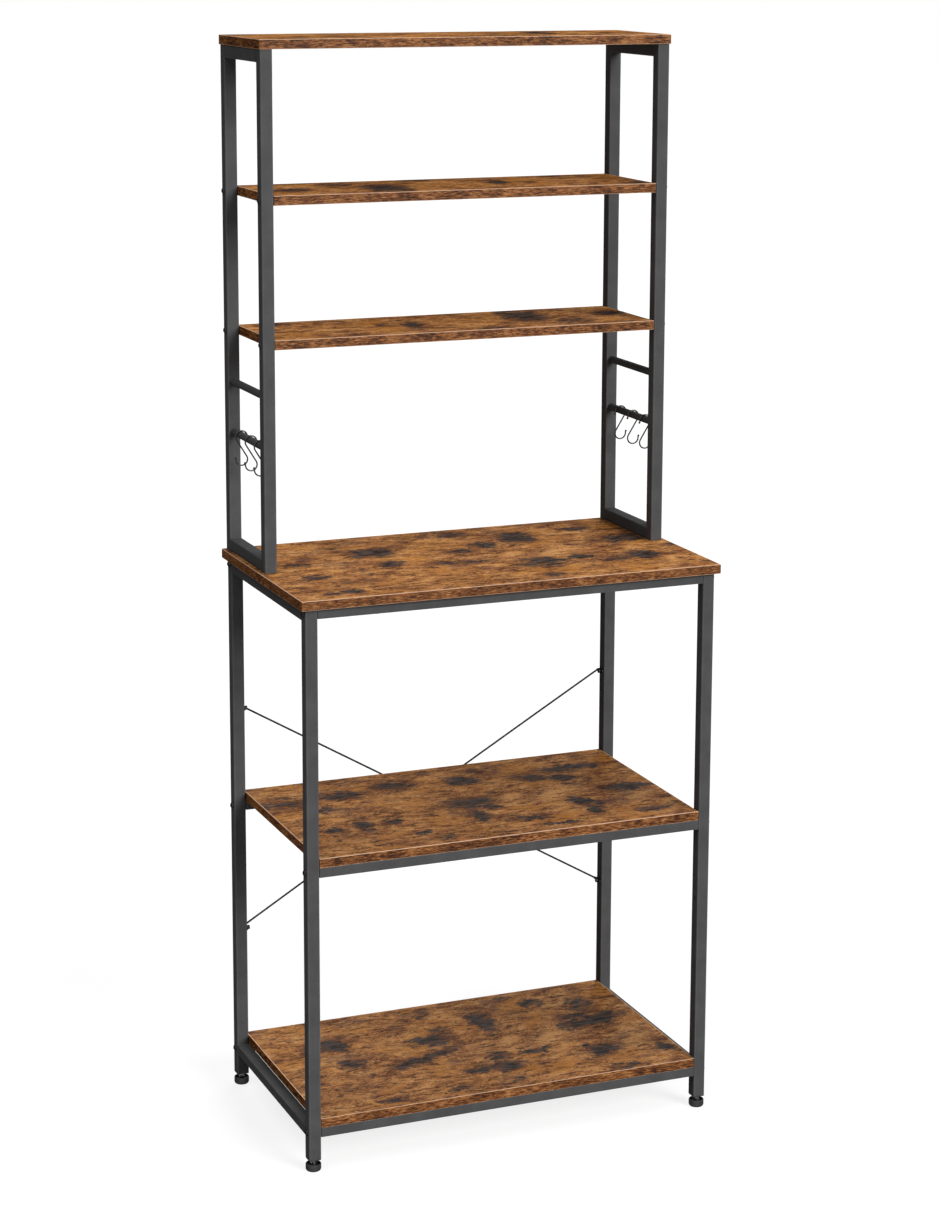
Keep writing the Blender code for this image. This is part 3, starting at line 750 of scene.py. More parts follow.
def path_mesh(paths: Sequence[Ring]) -> Mesh:
    """Open paths, as a mesh of edges for a tool to start from.

    Args:
        paths: the points of each path.

    Returns:
        The mesh.
    """
    edges: list[tuple[int, int]] = []
    start = 0
    for path in paths:
        edges += [(step, step + 1) for step in range(start, start + len(path) - 1)]
        start += len(path)
    mesh = bpy.data.meshes.new("paths")
    mesh.from_pydata([point for path in paths for point in path], edges, [])
    return mesh


def circle(radius: float, height: float, sides: int) -> Ring:
    """Points round a circle about Z."""
    steps = [2 * math.pi * side / sides for side in range(sides)]
    return [Vector((radius * math.cos(a), radius * math.sin(a), height)) for a in steps]


def polygon(across_flats: float, height: float, corners: int, sides: int) -> Ring:
    """Points round a regular polygon about Z.

    Args:
        across_flats: its size between opposite sides.
        height: its Z.
        corners: how many corners it has.
        sides: how many points are laid round it.

    Returns:
        The points.
    """
    wedge = 2 * math.pi / corners
    ring = []
    for side in range(sides):
        angle = 2 * math.pi * side / sides
        radius = across_flats / 2 / math.cos((angle + wedge / 2) % wedge - wedge / 2)
        ring.append(Vector((radius * math.cos(angle), radius * math.sin(angle), height)))
    return ring


def stack(rows: Sequence[tuple[float, ...]], sides: int) -> list[Ring]:
    """Rings about Z: a circle for each (radius, height), a polygon for each (size, height, corners)."""
    return [circle(*row, sides) if len(row) == 2 else polygon(*row, sides) for row in rows]


def squircle(width: float, depth: float, radius: float, height: float, steps: int = 4) -> Ring:
    """Points round a rectangle with round corners, about Z.

    Args:
        width: its size along X.
        depth: its size along Y.
        radius: its corners' radius.
        height: its Z.
        steps: how many steps each corner takes.

    Returns:
        The points.
    """
    ring = []
    for quarter, (across, up) in enumerate(((1, 1), (-1, 1), (-1, -1), (1, -1))):
        for step in range(steps + 1):
            angle = math.pi / 2 * (quarter + step / steps)
            x = across * (width / 2 - radius) + radius * math.cos(angle)
            y = up * (depth / 2 - radius) + radius * math.sin(angle)
            ring.append(Vector((x, y, height)))
    return ring


class Tool(Graph):
    """A Geometry Nodes tree with named inputs. A run turns its result into a plain mesh."""

    def __init__(self, name: str, inputs: Mapping[str, str]) -> None:
        """Makes the tree and its inputs.

        Args:
            name: the tree's name.
            inputs: the inputs' names and socket types, apart from Geometry and Finish.
        """
        super().__init__(bpy.data.node_groups.new(name, "GeometryNodeTree"))
        self.tree.is_modifier = True
        sockets = {"Geometry": "NodeSocketGeometry", **inputs, "Finish": "NodeSocketMaterial"}
        for label, kind in sockets.items():
            self.tree.interface.new_socket(label, in_out="INPUT", socket_type=kind)
        self.tree.interface.new_socket("Geometry", in_out="OUTPUT", socket_type="NodeSocketGeometry")
        self.given = self.add("NodeGroupInput").outputs

    def close(self, geometry: Socket) -> "Tool":
        """Ends the tree in Realize Instances and Set Material.

        Args:
            geometry: the tree's result so far.

        Returns:
            This tool.
        """
        real = self.out("GeometryNodeRealizeInstances", {"Geometry": geometry})
        dressed = self.out("GeometryNodeSetMaterial", {"Geometry": real, "Material": self.given["Finish"]})
        self.add("NodeGroupOutput", {"Geometry": dressed})
        return self

    def copies(self, item: str, points: Socket, turn: Socket) -> Socket:
        """Puts copies of an object on points.

        Args:
            item: the input that gives the object.
            points: where the copies go.
            turn: their rotation.

        Returns:
            The copies.
        """
        feeds = {"Object": self.given[item], "As Instance": True}
        thing = self.add("GeometryNodeObjectInfo", feeds).outputs["Geometry"]
        feeds = {"Points": points, "Instance": thing, "Rotation": turn}
        return self.out("GeometryNodeInstanceOnPoints", feeds)

    def aim(self, axis: str, direction: Socket) -> Socket:
        """The rotation that lays an axis along a direction."""
        return self.out("FunctionNodeAlignRotationToVector", {"Vector": direction}, axis=axis)

    def run(
        self, name: str, finish: Finish, values: Mapping[str, object], source: Optional[Mesh] = None
    ) -> Mesh:
        """Runs the tree once.

        Args:
            name: the result's name.
            finish: the finish that its faces get.
            values: the tree's inputs, by name.
            source: the mesh that the tree starts from, if it needs one.

        Returns:
            The result as a plain mesh.
        """
        carrier = linked(name, source or bpy.data.meshes.new(name))
        modifier = carrier.modifiers.new(self.tree.name, "NODES")
        modifier.node_group = self.tree
        given = {**values, "Finish": finish.material()}
        for item in self.tree.interface.items_tree:
            if item.in_out == "INPUT" and item.name in given:
                modifier[item.identifier] = given[item.name]
        mesh = final_mesh(carrier)
        mesh.name = name
        bpy.data.objects.remove(carrier)
        return mesh


def tube_tool() -> Tool:
    """A hollow tube along Z, its round corners marked by the corner attribute, and its side hole.

    Returns:
        The tool.
    """
    numbers = {label: NUMBER for label in ("Width", "Height", "Wall", "Corner", "Length", "Hole")}
    tool = Tool("square_tube", {**numbers, "Hole Place": VECTOR})
    given = tool.given
    outlines = []
    for inset in (0.0, given["Wall"]):
        twice = tool.maths("MULTIPLY", inset, 2.0)
        width, height = (tool.maths("SUBTRACT", given[size], twice) for size in ("Width", "Height"))
        oblong = tool.out("GeometryNodeCurvePrimitiveQuadrilateral", {"Width": width, "Height": height})
        feeds = {"Curve": oblong, "Count": 5, "Radius": tool.maths("SUBTRACT", given["Corner"], inset)}
        outlines.append(tool.out("GeometryNodeFilletCurve", feeds, mode="POLY"))
    ring = tool.out("GeometryNodeFillCurve", {"Curve": tool.join(*reversed(outlines))}, mode="TRIANGLES")
    length = tool.out("ShaderNodeCombineXYZ", {"Z": given["Length"]})
    feeds = {"Mesh": ring, "Offset": length, "Offset Scale": 1.0, "Individual": False}
    walls = tool.out("GeometryNodeExtrudeMesh", feeds)
    whole = tool.join(walls, tool.out("GeometryNodeFlipFaces", {"Mesh": ring}))
    closed = tool.out("GeometryNodeMergeByDistance", {"Geometry": whole, "Distance": WELD})
    feeds = {"Vertices": 32, "Radius": given["Hole"], "Depth": 0.01}
    drill = tool.out("GeometryNodeMeshCylinder", feeds)
    sideways = {"Geometry": drill, "Translation": given["Hole Place"], "Rotation": (0.0, math.pi / 2, 0.0)}
    feeds = {"Mesh 1": closed, "Mesh 2": tool.out("GeometryNodeTransform", sideways)}
    drilled = tool.out("GeometryNodeMeshBoolean", feeds, operation="DIFFERENCE")
    feeds = {"Switch": tool.maths("GREATER_THAN", given["Hole"], 0.0), "False": closed, "True": drilled}
    tube = tool.out("GeometryNodeSwitch", feeds, input_type="GEOMETRY")
    spot = tool.add("ShaderNodeSeparateXYZ", {"Vector": tool.out("GeometryNodeInputPosition")})
    near = []
    for size, axis in (("Width", "X"), ("Height", "Y")):
        reach = tool.maths("SUBTRACT", tool.maths("MULTIPLY", given[size], 0.5), given["Corner"])
        near.append(tool.maths("GREATER_THAN", tool.maths("ABSOLUTE", spot.outputs[axis]), reach))
    feeds = {"Geometry": tube, "Name": "corner", "Value": tool.maths("MULTIPLY", *near)}
    return tool.close(tool.out("GeometryNodeStoreNamedAttribute", feeds, data_type="FLOAT", domain="FACE"))


def wire_tool() -> Tool:
    """A round wire along the source's edges, with a knob at each tip and the ripples of a weld.

    Returns:
        The tool.
    """
    numbers = {label: NUMBER for label in ("Radius", "Step", "Ripple", "Pitch", "Knob")}
    tool = Tool("wire_along_path", {**numbers, "Sides": WHOLE})
    given = tool.given
    path = tool.out("GeometryNodeMeshToCurve", {"Mesh": given["Geometry"]})
    path = tool.out("GeometryNodeResampleCurve", {"Curve": path, "Length": given["Step"]}, mode="LENGTH")
    along = tool.add("GeometryNodeSplineParameter").outputs["Length"]
    whole = tool.add("GeometryNodeSplineLength").outputs["Length"]
    nearest = tool.maths("MINIMUM", along, tool.maths("SUBTRACT", whole, along))
    offset = tool.maths("SUBTRACT", tool.maths("DIVIDE", nearest, given["Radius"]), given["Knob"])
    square = tool.maths("MULTIPLY", given["Knob"], given["Knob"])
    square = tool.maths("SUBTRACT", square, tool.maths("MULTIPLY", offset, offset))
    ball = tool.maths("SQRT", tool.maths("MAXIMUM", square, 0.04))
    past = tool.maths("GREATER_THAN", offset, 0.0)
    cyclic = tool.out("GeometryNodeInputSplineCyclic")
    size = tool.maths("MAXIMUM", ball, tool.maths("MAXIMUM", past, cyclic))
    turns = tool.maths("DIVIDE", tool.maths("MULTIPLY", along, 2 * math.pi), given["Pitch"])
    least = tool.maths("SUBTRACT", 1.0, given["Ripple"])
    swell = tool.maths("MULTIPLY_ADD", tool.maths("SINE", turns), given["Ripple"], least)
    feeds = {"Resolution": given["Sides"], "Radius": given["Radius"]}
    profile = tool.out("GeometryNodeCurvePrimitiveCircle", feeds)
    scale = tool.maths("MULTIPLY", size, swell)
    feeds = {"Curve": path, "Profile Curve": profile, "Fill Caps": True, "Scale": scale}
    return tool.close(tool.out("GeometryNodeCurveToMesh", feeds))


def fastener_tool() -> Tool:
    """Puts a fastener on each of the source's points, along its axis, each with its own random spin.

    Returns:
        The tool.
    """
    tool = Tool("fasteners_on_points", {"Fastener": ITEM, "Seed": WHOLE})
    axis = tool.out("GeometryNodeInputNamedAttribute", {"Name": "axis"}, data_type="FLOAT_VECTOR")
    full_turn = {3: 2 * math.pi, "Seed": tool.given["Seed"]}
    spin = tool.add("FunctionNodeRandomValue", full_turn, data_type="FLOAT").outputs[1]
    turn = tool.out("FunctionNodeEulerToRotation", {0: tool.out("ShaderNodeCombineXYZ", {"Z": spin})})
    feeds = {"Rotation": tool.aim("Z", axis), "Rotate By": turn}
    aimed = tool.out("FunctionNodeRotateRotation", feeds, rotation_space="LOCAL")
    return tool.close(tool.copies("Fastener", tool.given["Geometry"], aimed))


def circle_tool() -> Tool:
    """Repeats an item round Z, its own X pointing outwards, and joins it to the source.

    Returns:
        The tool.
    """
    tool = Tool("repeat_round_circle", {"Item": ITEM, "Count": WHOLE, "Radius": NUMBER})
    given = tool.given
    ring = tool.out("GeometryNodeMeshCircle", {"Vertices": given["Count"], "Radius": given["Radius"]})
    outwards = tool.aim("X", tool.out("GeometryNodeInputPosition"))
    return tool.close(tool.join(tool.copies("Item", ring, outwards), given["Geometry"]))


@dataclass
class SubAssembly:
    """What every sub-assembly does: it turns meshes into finished pieces and reports them."""

    pieces: list[bpy.types.Object] = field(default_factory=list, init=False)

    def add(
        self,
        name: str,
        mesh: Mesh,
        finish: Finish,
        nodes: Sequence[str] = (),
        body: str = "rack",
        angle: float = 35.0,
        weighted: bool = False,
    ) -> None:
        """Makes a finished piece of a mesh that is in place.

        Args:
            name: the piece's name.
            mesh: its mesh.
            finish: its finish, and its material if the mesh has none yet.
            nodes: the CAD nodes that it stands for.
            body: the CAD body that it rides on.
            angle: faces that meet at more than this many degrees keep a hard edge.
            weighted: keeps large flat faces flat beside narrow round ones.
        """
        if not mesh.materials:
            mesh.materials.append(finish.material())
        mesh.shade_smooth()
        mesh.set_sharp_from_angle(angle=math.radians(angle))
        piece = linked(name, mesh)
        if weighted:
            piece.modifiers.new("flat_faces", "WEIGHTED_NORMAL").keep_sharp = True
            piece.data = final_mesh(piece)
            piece.modifiers.clear()
        piece.data.name = name
        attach(piece, body)
        if nodes:
            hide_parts(*nodes)
        self.pieces.append(piece)
        owner, faces = type(self).__name__, len(piece.data.polygons)
        LOG.info("%s: %s, %d faces, for %s", owner, name, faces, ", ".join(nodes) or "detail")


@dataclass
class Plan:
    """The rack's shared sizes, in metres."""

    frame_width: float = 0.685
    base_depth: float = 0.386
    tube: float = 0.020
    wall: float = 0.0012
    corner: float = 0.0022
    flat_rail: float = 0.015
    flat_corner: float = 0.0005
    gap: float = 0.0003
    board: float = 0.015
    worktop_top: float = 0.913
    hutch_depth: float = 0.200
    hutch_centre_y: float = 0.098
    hutch_height: float = 0.823
    leg_bottom: float = 0.020
    bar_radius: float = 0.006
    upper_bar: float = 1.1885
    lower_bar: float = 1.1074
    brace_high: float = 0.6475
    brace_low: float = 0.271

    @property
    def leg_x(self) -> float:
        """X of the legs' and posts' centre lines."""
        return (self.frame_width - self.tube) / 2

    @property
    def leg_y(self) -> float:
        """Y of the legs' centre lines."""
        return (self.base_depth - self.tube) / 2

    @property
    def leg_top(self) -> float:
        """Z of the legs' upper ends."""
        return self.worktop_top - self.board - self.gap

    @property
    def post_y(self) -> tuple[float, float]:
        """Y of the front and back posts' centre lines."""
        reach = (self.hutch_depth - self.tube) / 2
        return self.hutch_centre_y - reach, self.hutch_centre_y + reach

    @property
    def post_span(self) -> tuple[float, float]:
        """Z of the posts' lower and upper ends."""
        return self.worktop_top + self.gap, self.worktop_top + self.hutch_height - self.board - self.gap

    @property
    def inner_x(self) -> float:
        """X of the legs' and posts' inner faces."""
        return self.frame_width / 2 - self.tube


PLAN = Plan()
RAIL_LEVELS = {"worktop": 0.8902, "middle": 0.4842, "bottom": 0.0632}
HUTCH_SHELF_TOPS = {"upper": 1.500, "lower": 1.278}


@dataclass
class BoardPlace:
    """Where a board lies: its middle and size in plan, its upper face's height, and its arris."""

    name: str
    width: float
    depth: float
    middle_y: float
    top: float
    print: Laminate
    arris: float = 0.0007


@dataclass
class Boards(SubAssembly):
    """The six laminated boards, each with printed faces, banded edges and a pale arris between them."""

    pale_line: float = 0.0013
    places: Sequence[BoardPlace] = (
        BoardPlace("worktop", 0.700, 0.400, 0.0, PLAN.worktop_top, WORKTOP_LAMINATE),
        BoardPlace("middle_shelf", 0.6444, 0.381, -0.0025, 0.507, MIDDLE_LAMINATE),
        BoardPlace("bottom_shelf", 0.6449, 0.381, -0.0025, 0.086, BOTTOM_LAMINATE, arris=0.0003),
        BoardPlace("top_board", 0.688, 0.204, 0.098, PLAN.worktop_top + PLAN.hutch_height, TOP_LAMINATE),
        BoardPlace("hutch_shelf_upper", 0.6444, 0.195, 0.0955, HUTCH_SHELF_TOPS["upper"], UPPER_LAMINATE),
        BoardPlace("hutch_shelf_lower", 0.6444, 0.195, 0.0955, HUTCH_SHELF_TOPS["lower"], LOWER_LAMINATE),
    )

    def mesh(self, place: BoardPlace) -> Mesh:
        """Builds a board, with a material for the faces, for both kinds of edge and for the arris.

        Args:
            place: where it lies.

        Returns:
            Its mesh.
        """
        mesh = bpy.data.meshes.new(place.name)
        finishes = (place.print, BAND_ALONG_X, BAND_ALONG_Y, ARRIS)
        for finish in finishes:
            mesh.materials.append(finish.material())
        shape = bmesh.new()
        bmesh.ops.create_cube(shape, size=1)
        bmesh.ops.scale(shape, vec=(place.width, place.depth, PLAN.board), verts=shape.verts)
        bmesh.ops.translate(shape, vec=(0, place.middle_y, place.top - PLAN.board / 2), verts=shape.verts)
        edges = list(shape.edges)
        bmesh.ops.bevel(shape, geom=edges, offset=place.arris, segments=3, profile=0.5, affect="EDGES")
        shape.normal_update()
        square_on, least_face, least_edge, leaning = 0.999, 0.01, 0.0005, 0.1
        level = [face for face in shape.faces if abs(face.normal.z) > square_on]
        printed = [face for face in level if face.calc_area() > least_face]
        inset = self.pale_line - place.arris
        bmesh.ops.inset_region(shape, faces=printed, thickness=inset, use_even_offset=True)
        for face in shape.faces:
            x, z = abs(face.normal.x), abs(face.normal.z)
            large = face.calc_area() > least_edge
            if face in printed:
                finish = place.print
            elif x > square_on and large:
                finish = BAND_ALONG_Y
            elif z > leaning:
                finish = ARRIS
            else:
                finish = BAND_ALONG_X
            face.material_index = finishes.index(finish)
        shape.to_mesh(mesh)
        shape.free()
        return mesh

    def build(self) -> None:
        """Builds every board in place of its CAD node."""
        for place in self.places:
            self.add(f"{place.name}_board", self.mesh(place), place.print, [place.name], weighted=True)


@dataclass
class TubeFrame(SubAssembly):
    """The welded side frames of the base and the hutch, and the long rails bolted between them."""

    weld_radius: float = 0.0009
    weld_step: float = 0.0004
    weld_swell: float = 0.10
    weld_pitch: float = 0.0016
    weld_sink: float = 0.3
    bead_corners: int = 32
    bar_sides: int = 40
    spare_hole: float = 0.0030
    spare_hole_z: float = 0.358
    tube: Tool = field(default_factory=tube_tool)
    wire: Tool = field(default_factory=wire_tool)

    def member(
        self,
        node: str,
        start: Sequence[float],
        way: Way,
        length: float,
        height: float,
        hole: Optional[Vector] = None,
    ) -> None:
        """Adds one square or flat tube in place of its CAD node.

        Args:
            node: the CAD node's name.
            start: the middle of its first end.
            way: the direction that it runs in.
            length: its length.
            height: its size along Z, or its depth for an upright.
            hole: where it is drilled from the side, in its own frame.
        """
        values = {"Width": PLAN.tube, "Height": height, "Wall": PLAN.wall, "Length": length}
        values["Corner"] = PLAN.corner if height == PLAN.tube else PLAN.flat_corner
        if hole:
            values.update({"Hole": self.spare_hole, "Hole Place": hole})
        name = f"{node}_tube"
        mesh = self.tube.run(name, FRAME_PAINT, values)
        mesh.transform(Matrix.Translation(start) @ TUBE_TURNS[way])
        self.add(name, mesh, FRAME_PAINT, [node], angle=40.0, weighted=True)

    def build_base(self) -> None:
        """Adds the legs, the side rails and the long rails."""
        between = 2 * PLAN.leg_y - PLAN.tube
        rails = (
            ("worktop_side_rail", PLAN.leg_top - PLAN.tube / 2, PLAN.tube),
            ("bottom_side_rail", RAIL_LEVELS["bottom"] + PLAN.gap / 2, PLAN.flat_rail + PLAN.gap),
        )
        for side in Side:
            x = side.value * PLAN.leg_x
            inwards = Vector((-side.value * PLAN.tube / 2, 0.0, self.spare_hole_z - PLAN.leg_bottom))
            for depth, spare in ((Depth.FRONT, inwards), (Depth.BACK, None)):
                start = (x, depth.value * PLAN.leg_y, PLAN.leg_bottom)
                height = PLAN.leg_top - PLAN.leg_bottom
                self.member(f"leg_{depth.word}_{side.word}", start, Way.UP, height, PLAN.tube, spare)
            for name, z, height in rails:
                self.member(f"{name}_{side.word}", (x, -between / 2, z), Way.BACK, between, height)
        length = 2 * (PLAN.inner_x - PLAN.gap)
        for (level, z), depth in product(RAIL_LEVELS.items(), Depth):
            start = (-length / 2, depth.value * PLAN.leg_y, z)
            self.member(f"{level}_rail_{depth.word}", start, Way.RIGHT, length, PLAN.flat_rail)

    def build_hutch(self) -> None:
        """Adds the posts, their cross rails and the round bars."""
        low, high = PLAN.post_span
        front, back = PLAN.post_y
        between = back - front - PLAN.tube
        for side in Side:
            x = side.value * PLAN.leg_x
            for depth, y in zip(Depth, (front, back)):
                name = f"hutch_post_{depth.word}_{side.word}"
                self.member(name, (x, y, low), Way.UP, high - low, PLAN.tube)
            for level, z in (("bottom", low + PLAN.tube / 2), ("top", high - PLAN.tube / 2)):
                start = (x, front + PLAN.tube / 2, z)
                self.member(f"hutch_{level}_rail_{side.word}", start, Way.BACK, between, PLAN.tube)
            for level, z in (("upper", PLAN.upper_bar), ("lower", PLAN.lower_bar)):
                radius, sides = PLAN.bar_radius, self.bar_sides
                rings = [circle(radius, share * between, sides) for share in (0.0, 0.5, 1.0)]
                place = Matrix.Translation((x, front + PLAN.tube / 2, z)) @ TIPPED_BACK
                name = f"{level}_bar_{side.word}"
                self.add(f"{name}_round", skin(name, rings, place), FRAME_PAINT, [name], angle=50.0)

    def weld_lines(self, side: Side) -> list[Ring]:
        """The paths of one side's weld beads: straight ones across inner corners, and round the bars' ends.

        Args:
            side: the rack's end.

        Returns:
            The points of each path.
        """
        x = side.value * PLAN.leg_x
        half = PLAN.tube / 2 - PLAN.corner
        sink = self.weld_radius * self.weld_sink
        low, high = PLAN.post_span
        front, back = PLAN.post_y
        front, back = front + PLAN.tube / 2 + sink, back - PLAN.tube / 2 - sink
        base = PLAN.leg_y - PLAN.tube / 2 - sink
        rail, reach = RAIL_LEVELS["bottom"], PLAN.flat_rail / 2 + sink
        levels = (PLAN.leg_top - PLAN.tube - sink, rail + reach, rail - reach)
        hutch_levels = (low + PLAN.tube + sink, high - PLAN.tube - sink)
        corners = [*product((-base, base), levels), *product((front, back), hutch_levels)]
        paths = [[Vector((x - half, y, z)), Vector((x + half, y, z))] for y, z in corners]
        for z, y in product((PLAN.upper_bar, PLAN.lower_bar), (front, back)):
            ring = circle(PLAN.bar_radius, 0.0, self.bead_corners)
            paths.append([Vector((x + point.x, y, z + point.y)) for point in (*ring, ring[0])])
        return paths

    def build_welds(self) -> None:
        """Adds the painted weld beads of each side frame."""
        values = {"Radius": self.weld_radius, "Step": self.weld_step, "Sides": 8, "Knob": 1.0}
        values.update({"Ripple": self.weld_swell, "Pitch": self.weld_pitch})
        for side in Side:
            name = f"weld_beads_{side.word}"
            mesh = self.wire.run(name, FRAME_PAINT, values, path_mesh(self.weld_lines(side)))
            self.add(name, mesh, FRAME_PAINT, angle=60.0)

    def build(self) -> None:
        """Adds the whole frame."""
        self.build_base()
        self.build_hutch()
        self.build_welds()


@dataclass
class Fasteners(SubAssembly):
    """Button-head bolts, the hutch's bolts, board screws and the brace's cap screws."""

    head_radius: float = 0.00525
    head_height: float = 0.0030
    shank_radius: float = 0.0030
    side_bolt: float = 0.0206
    hutch_bolt: float = 0.0450
    cap_seat: float = 0.0022
    board_screw_x: float = 0.225
    hutch_bolt_y: tuple[float, ...] = (0.048, 0.148)
    sides: int = 36
    place_tool: Tool = field(default_factory=fastener_tool)

    def button_head(self, shank: float) -> Mesh:
        """A domed head with a hexagon socket, on a shank that runs down from 0.

        Args:
            shank: the shank's length.

        Returns:
            The mesh.
        """
        radius, height = self.head_radius, self.head_height
        rows = [(self.shank_radius, -shank), (self.shank_radius, 0.0)]
        rows += [(radius - 0.0003, 0.0), (radius, 0.0003)]
        steepest, flattest, steps = math.radians(12), math.radians(74), 5
        for step in range(1, steps):
            angle = steepest + (flattest - steepest) * step / steps
            spread = radius * math.cos(angle) / math.cos(steepest)
            rows.append((spread, height * math.sin(angle) / math.sin(flattest)))
        rows += [(0.0026, height), (0.0041, height - 0.0002, HEXAGON), (0.0040, height - 0.0020, HEXAGON)]
        return skin("button_head", stack([*rows, (0.0004, height - 0.0026)], self.sides))

    def pan_head(self) -> Mesh:
        """A board screw's head with a cross recess.

        Returns:
            The mesh.
        """
        sides = 40
        rows = [(0.0018, -0.0060), (0.0018, 0.0), (0.0038, 0.0), (0.0040, 0.0005)]
        rows += [(0.0037, 0.0013), (0.0028, 0.0020)]
        rings = stack(rows, sides)
        for share, height in ((1.0, 0.0021), (0.8, 0.0010)):
            recess = []
            for point in circle(1.0, 0.0, sides):
                arm = abs(math.cos(2 * math.atan2(point.y, point.x))) ** 4
                radius = share * (0.0008 + 0.0012 * arm)
                recess.append(Vector((radius * point.x, radius * point.y, height)))
            rings.append(recess)
        return skin("pan_head", rings)

    def cap_screw(self) -> Mesh:
        """A cylinder-head screw with a hexagon socket.

        Returns:
            The mesh.
        """
        rows = [(0.0019, -0.0060), (0.0019, 0.0), (0.0034, 0.0), (0.0035, 0.0003), (0.0035, 0.0034)]
        rows += [(0.0030, 0.0039), (0.0020, 0.0040), (0.0030, 0.0038, HEXAGON), (0.0030, 0.0020, HEXAGON)]
        return skin("cap_screw", stack(rows, self.sides))

    def scatter(
        self,
        name: str,
        mesh: Mesh,
        spots: Sequence[tuple[Sequence[float], Way]],
        seed: int,
        nodes: Sequence[str] = (),
    ) -> None:
        """Puts a fastener on each spot, as one piece.

        Args:
            name: the piece's name.
            mesh: the fastener, with its head along Z.
            spots: the seats of the heads and the way that each head points.
            seed: the seed of the random spins.
            nodes: the CAD nodes that the piece stands for.
        """
        item = bpy.data.objects.new(f"{name}_item", mesh)
        source = bpy.data.meshes.new(f"{name}_spots")
        source.from_pydata([spot for spot, _ in spots], [], [])
        axes = source.attributes.new("axis", "FLOAT_VECTOR", "POINT")
        axes.data.foreach_set("vector", [value for _, way in spots for value in way.value])
        made = self.place_tool.run(name, BLACK_STEEL, {"Fastener": item, "Seed": seed}, source)
        bpy.data.objects.remove(item)
        self.add(name, made, BLACK_STEEL, nodes, angle=38.0)

    def build(self) -> None:
        """Adds every fastener."""
        outer = PLAN.frame_width / 2 + PLAN.gap
        seats = [(depth.value * PLAN.leg_y, z) for depth, z in product(Depth, RAIL_LEVELS.values())]
        posts = [(y, z - PLAN.board / 2) for y, z in product(PLAN.post_y, HUTCH_SHELF_TOPS.values())]
        ends = zip(Side, (Way.LEFT, Way.RIGHT))
        spots = [((side.value * outer, y, z), way) for side, way in ends for y, z in seats + posts]
        self.scatter("side_bolts", self.button_head(self.side_bolt), spots, seed=3)
        under = PLAN.leg_top - PLAN.tube - PLAN.gap
        pairs = product(Side, self.hutch_bolt_y)
        spots = [((side.value * PLAN.leg_x, y, under), Way.DOWN) for side, y in pairs]
        names = [f"hutch_bolt_{depth.word}_{side.word}" for side, depth in product(Side, Depth)]
        self.scatter("hutch_bolts", self.button_head(self.hutch_bolt), spots, 5, names)
        spots = [
            ((side.value * self.board_screw_x, depth.value * PLAN.leg_y, z - PLAN.flat_rail / 2), Way.DOWN)
            for side, depth, z in product(Side, Depth, RAIL_LEVELS.values())
        ]
        self.scatter("board_screws", self.pan_head(), spots, seed=7)
        inner = PLAN.inner_x - 2 * PLAN.gap - self.cap_seat
        inward = zip(Side, (Way.RIGHT, Way.LEFT))
        levels = (PLAN.brace_high, PLAN.brace_low)
        spots = [((side.value * inner, PLAN.leg_y, z), way) for side, way in inward for z in levels]
        names = [f"brace_screw_{level}_{side.word}" for side, level in product(Side, ("upper", "lower"))]
        self.scatter("brace_screws", self.cap_screw(), spots, 9, names)


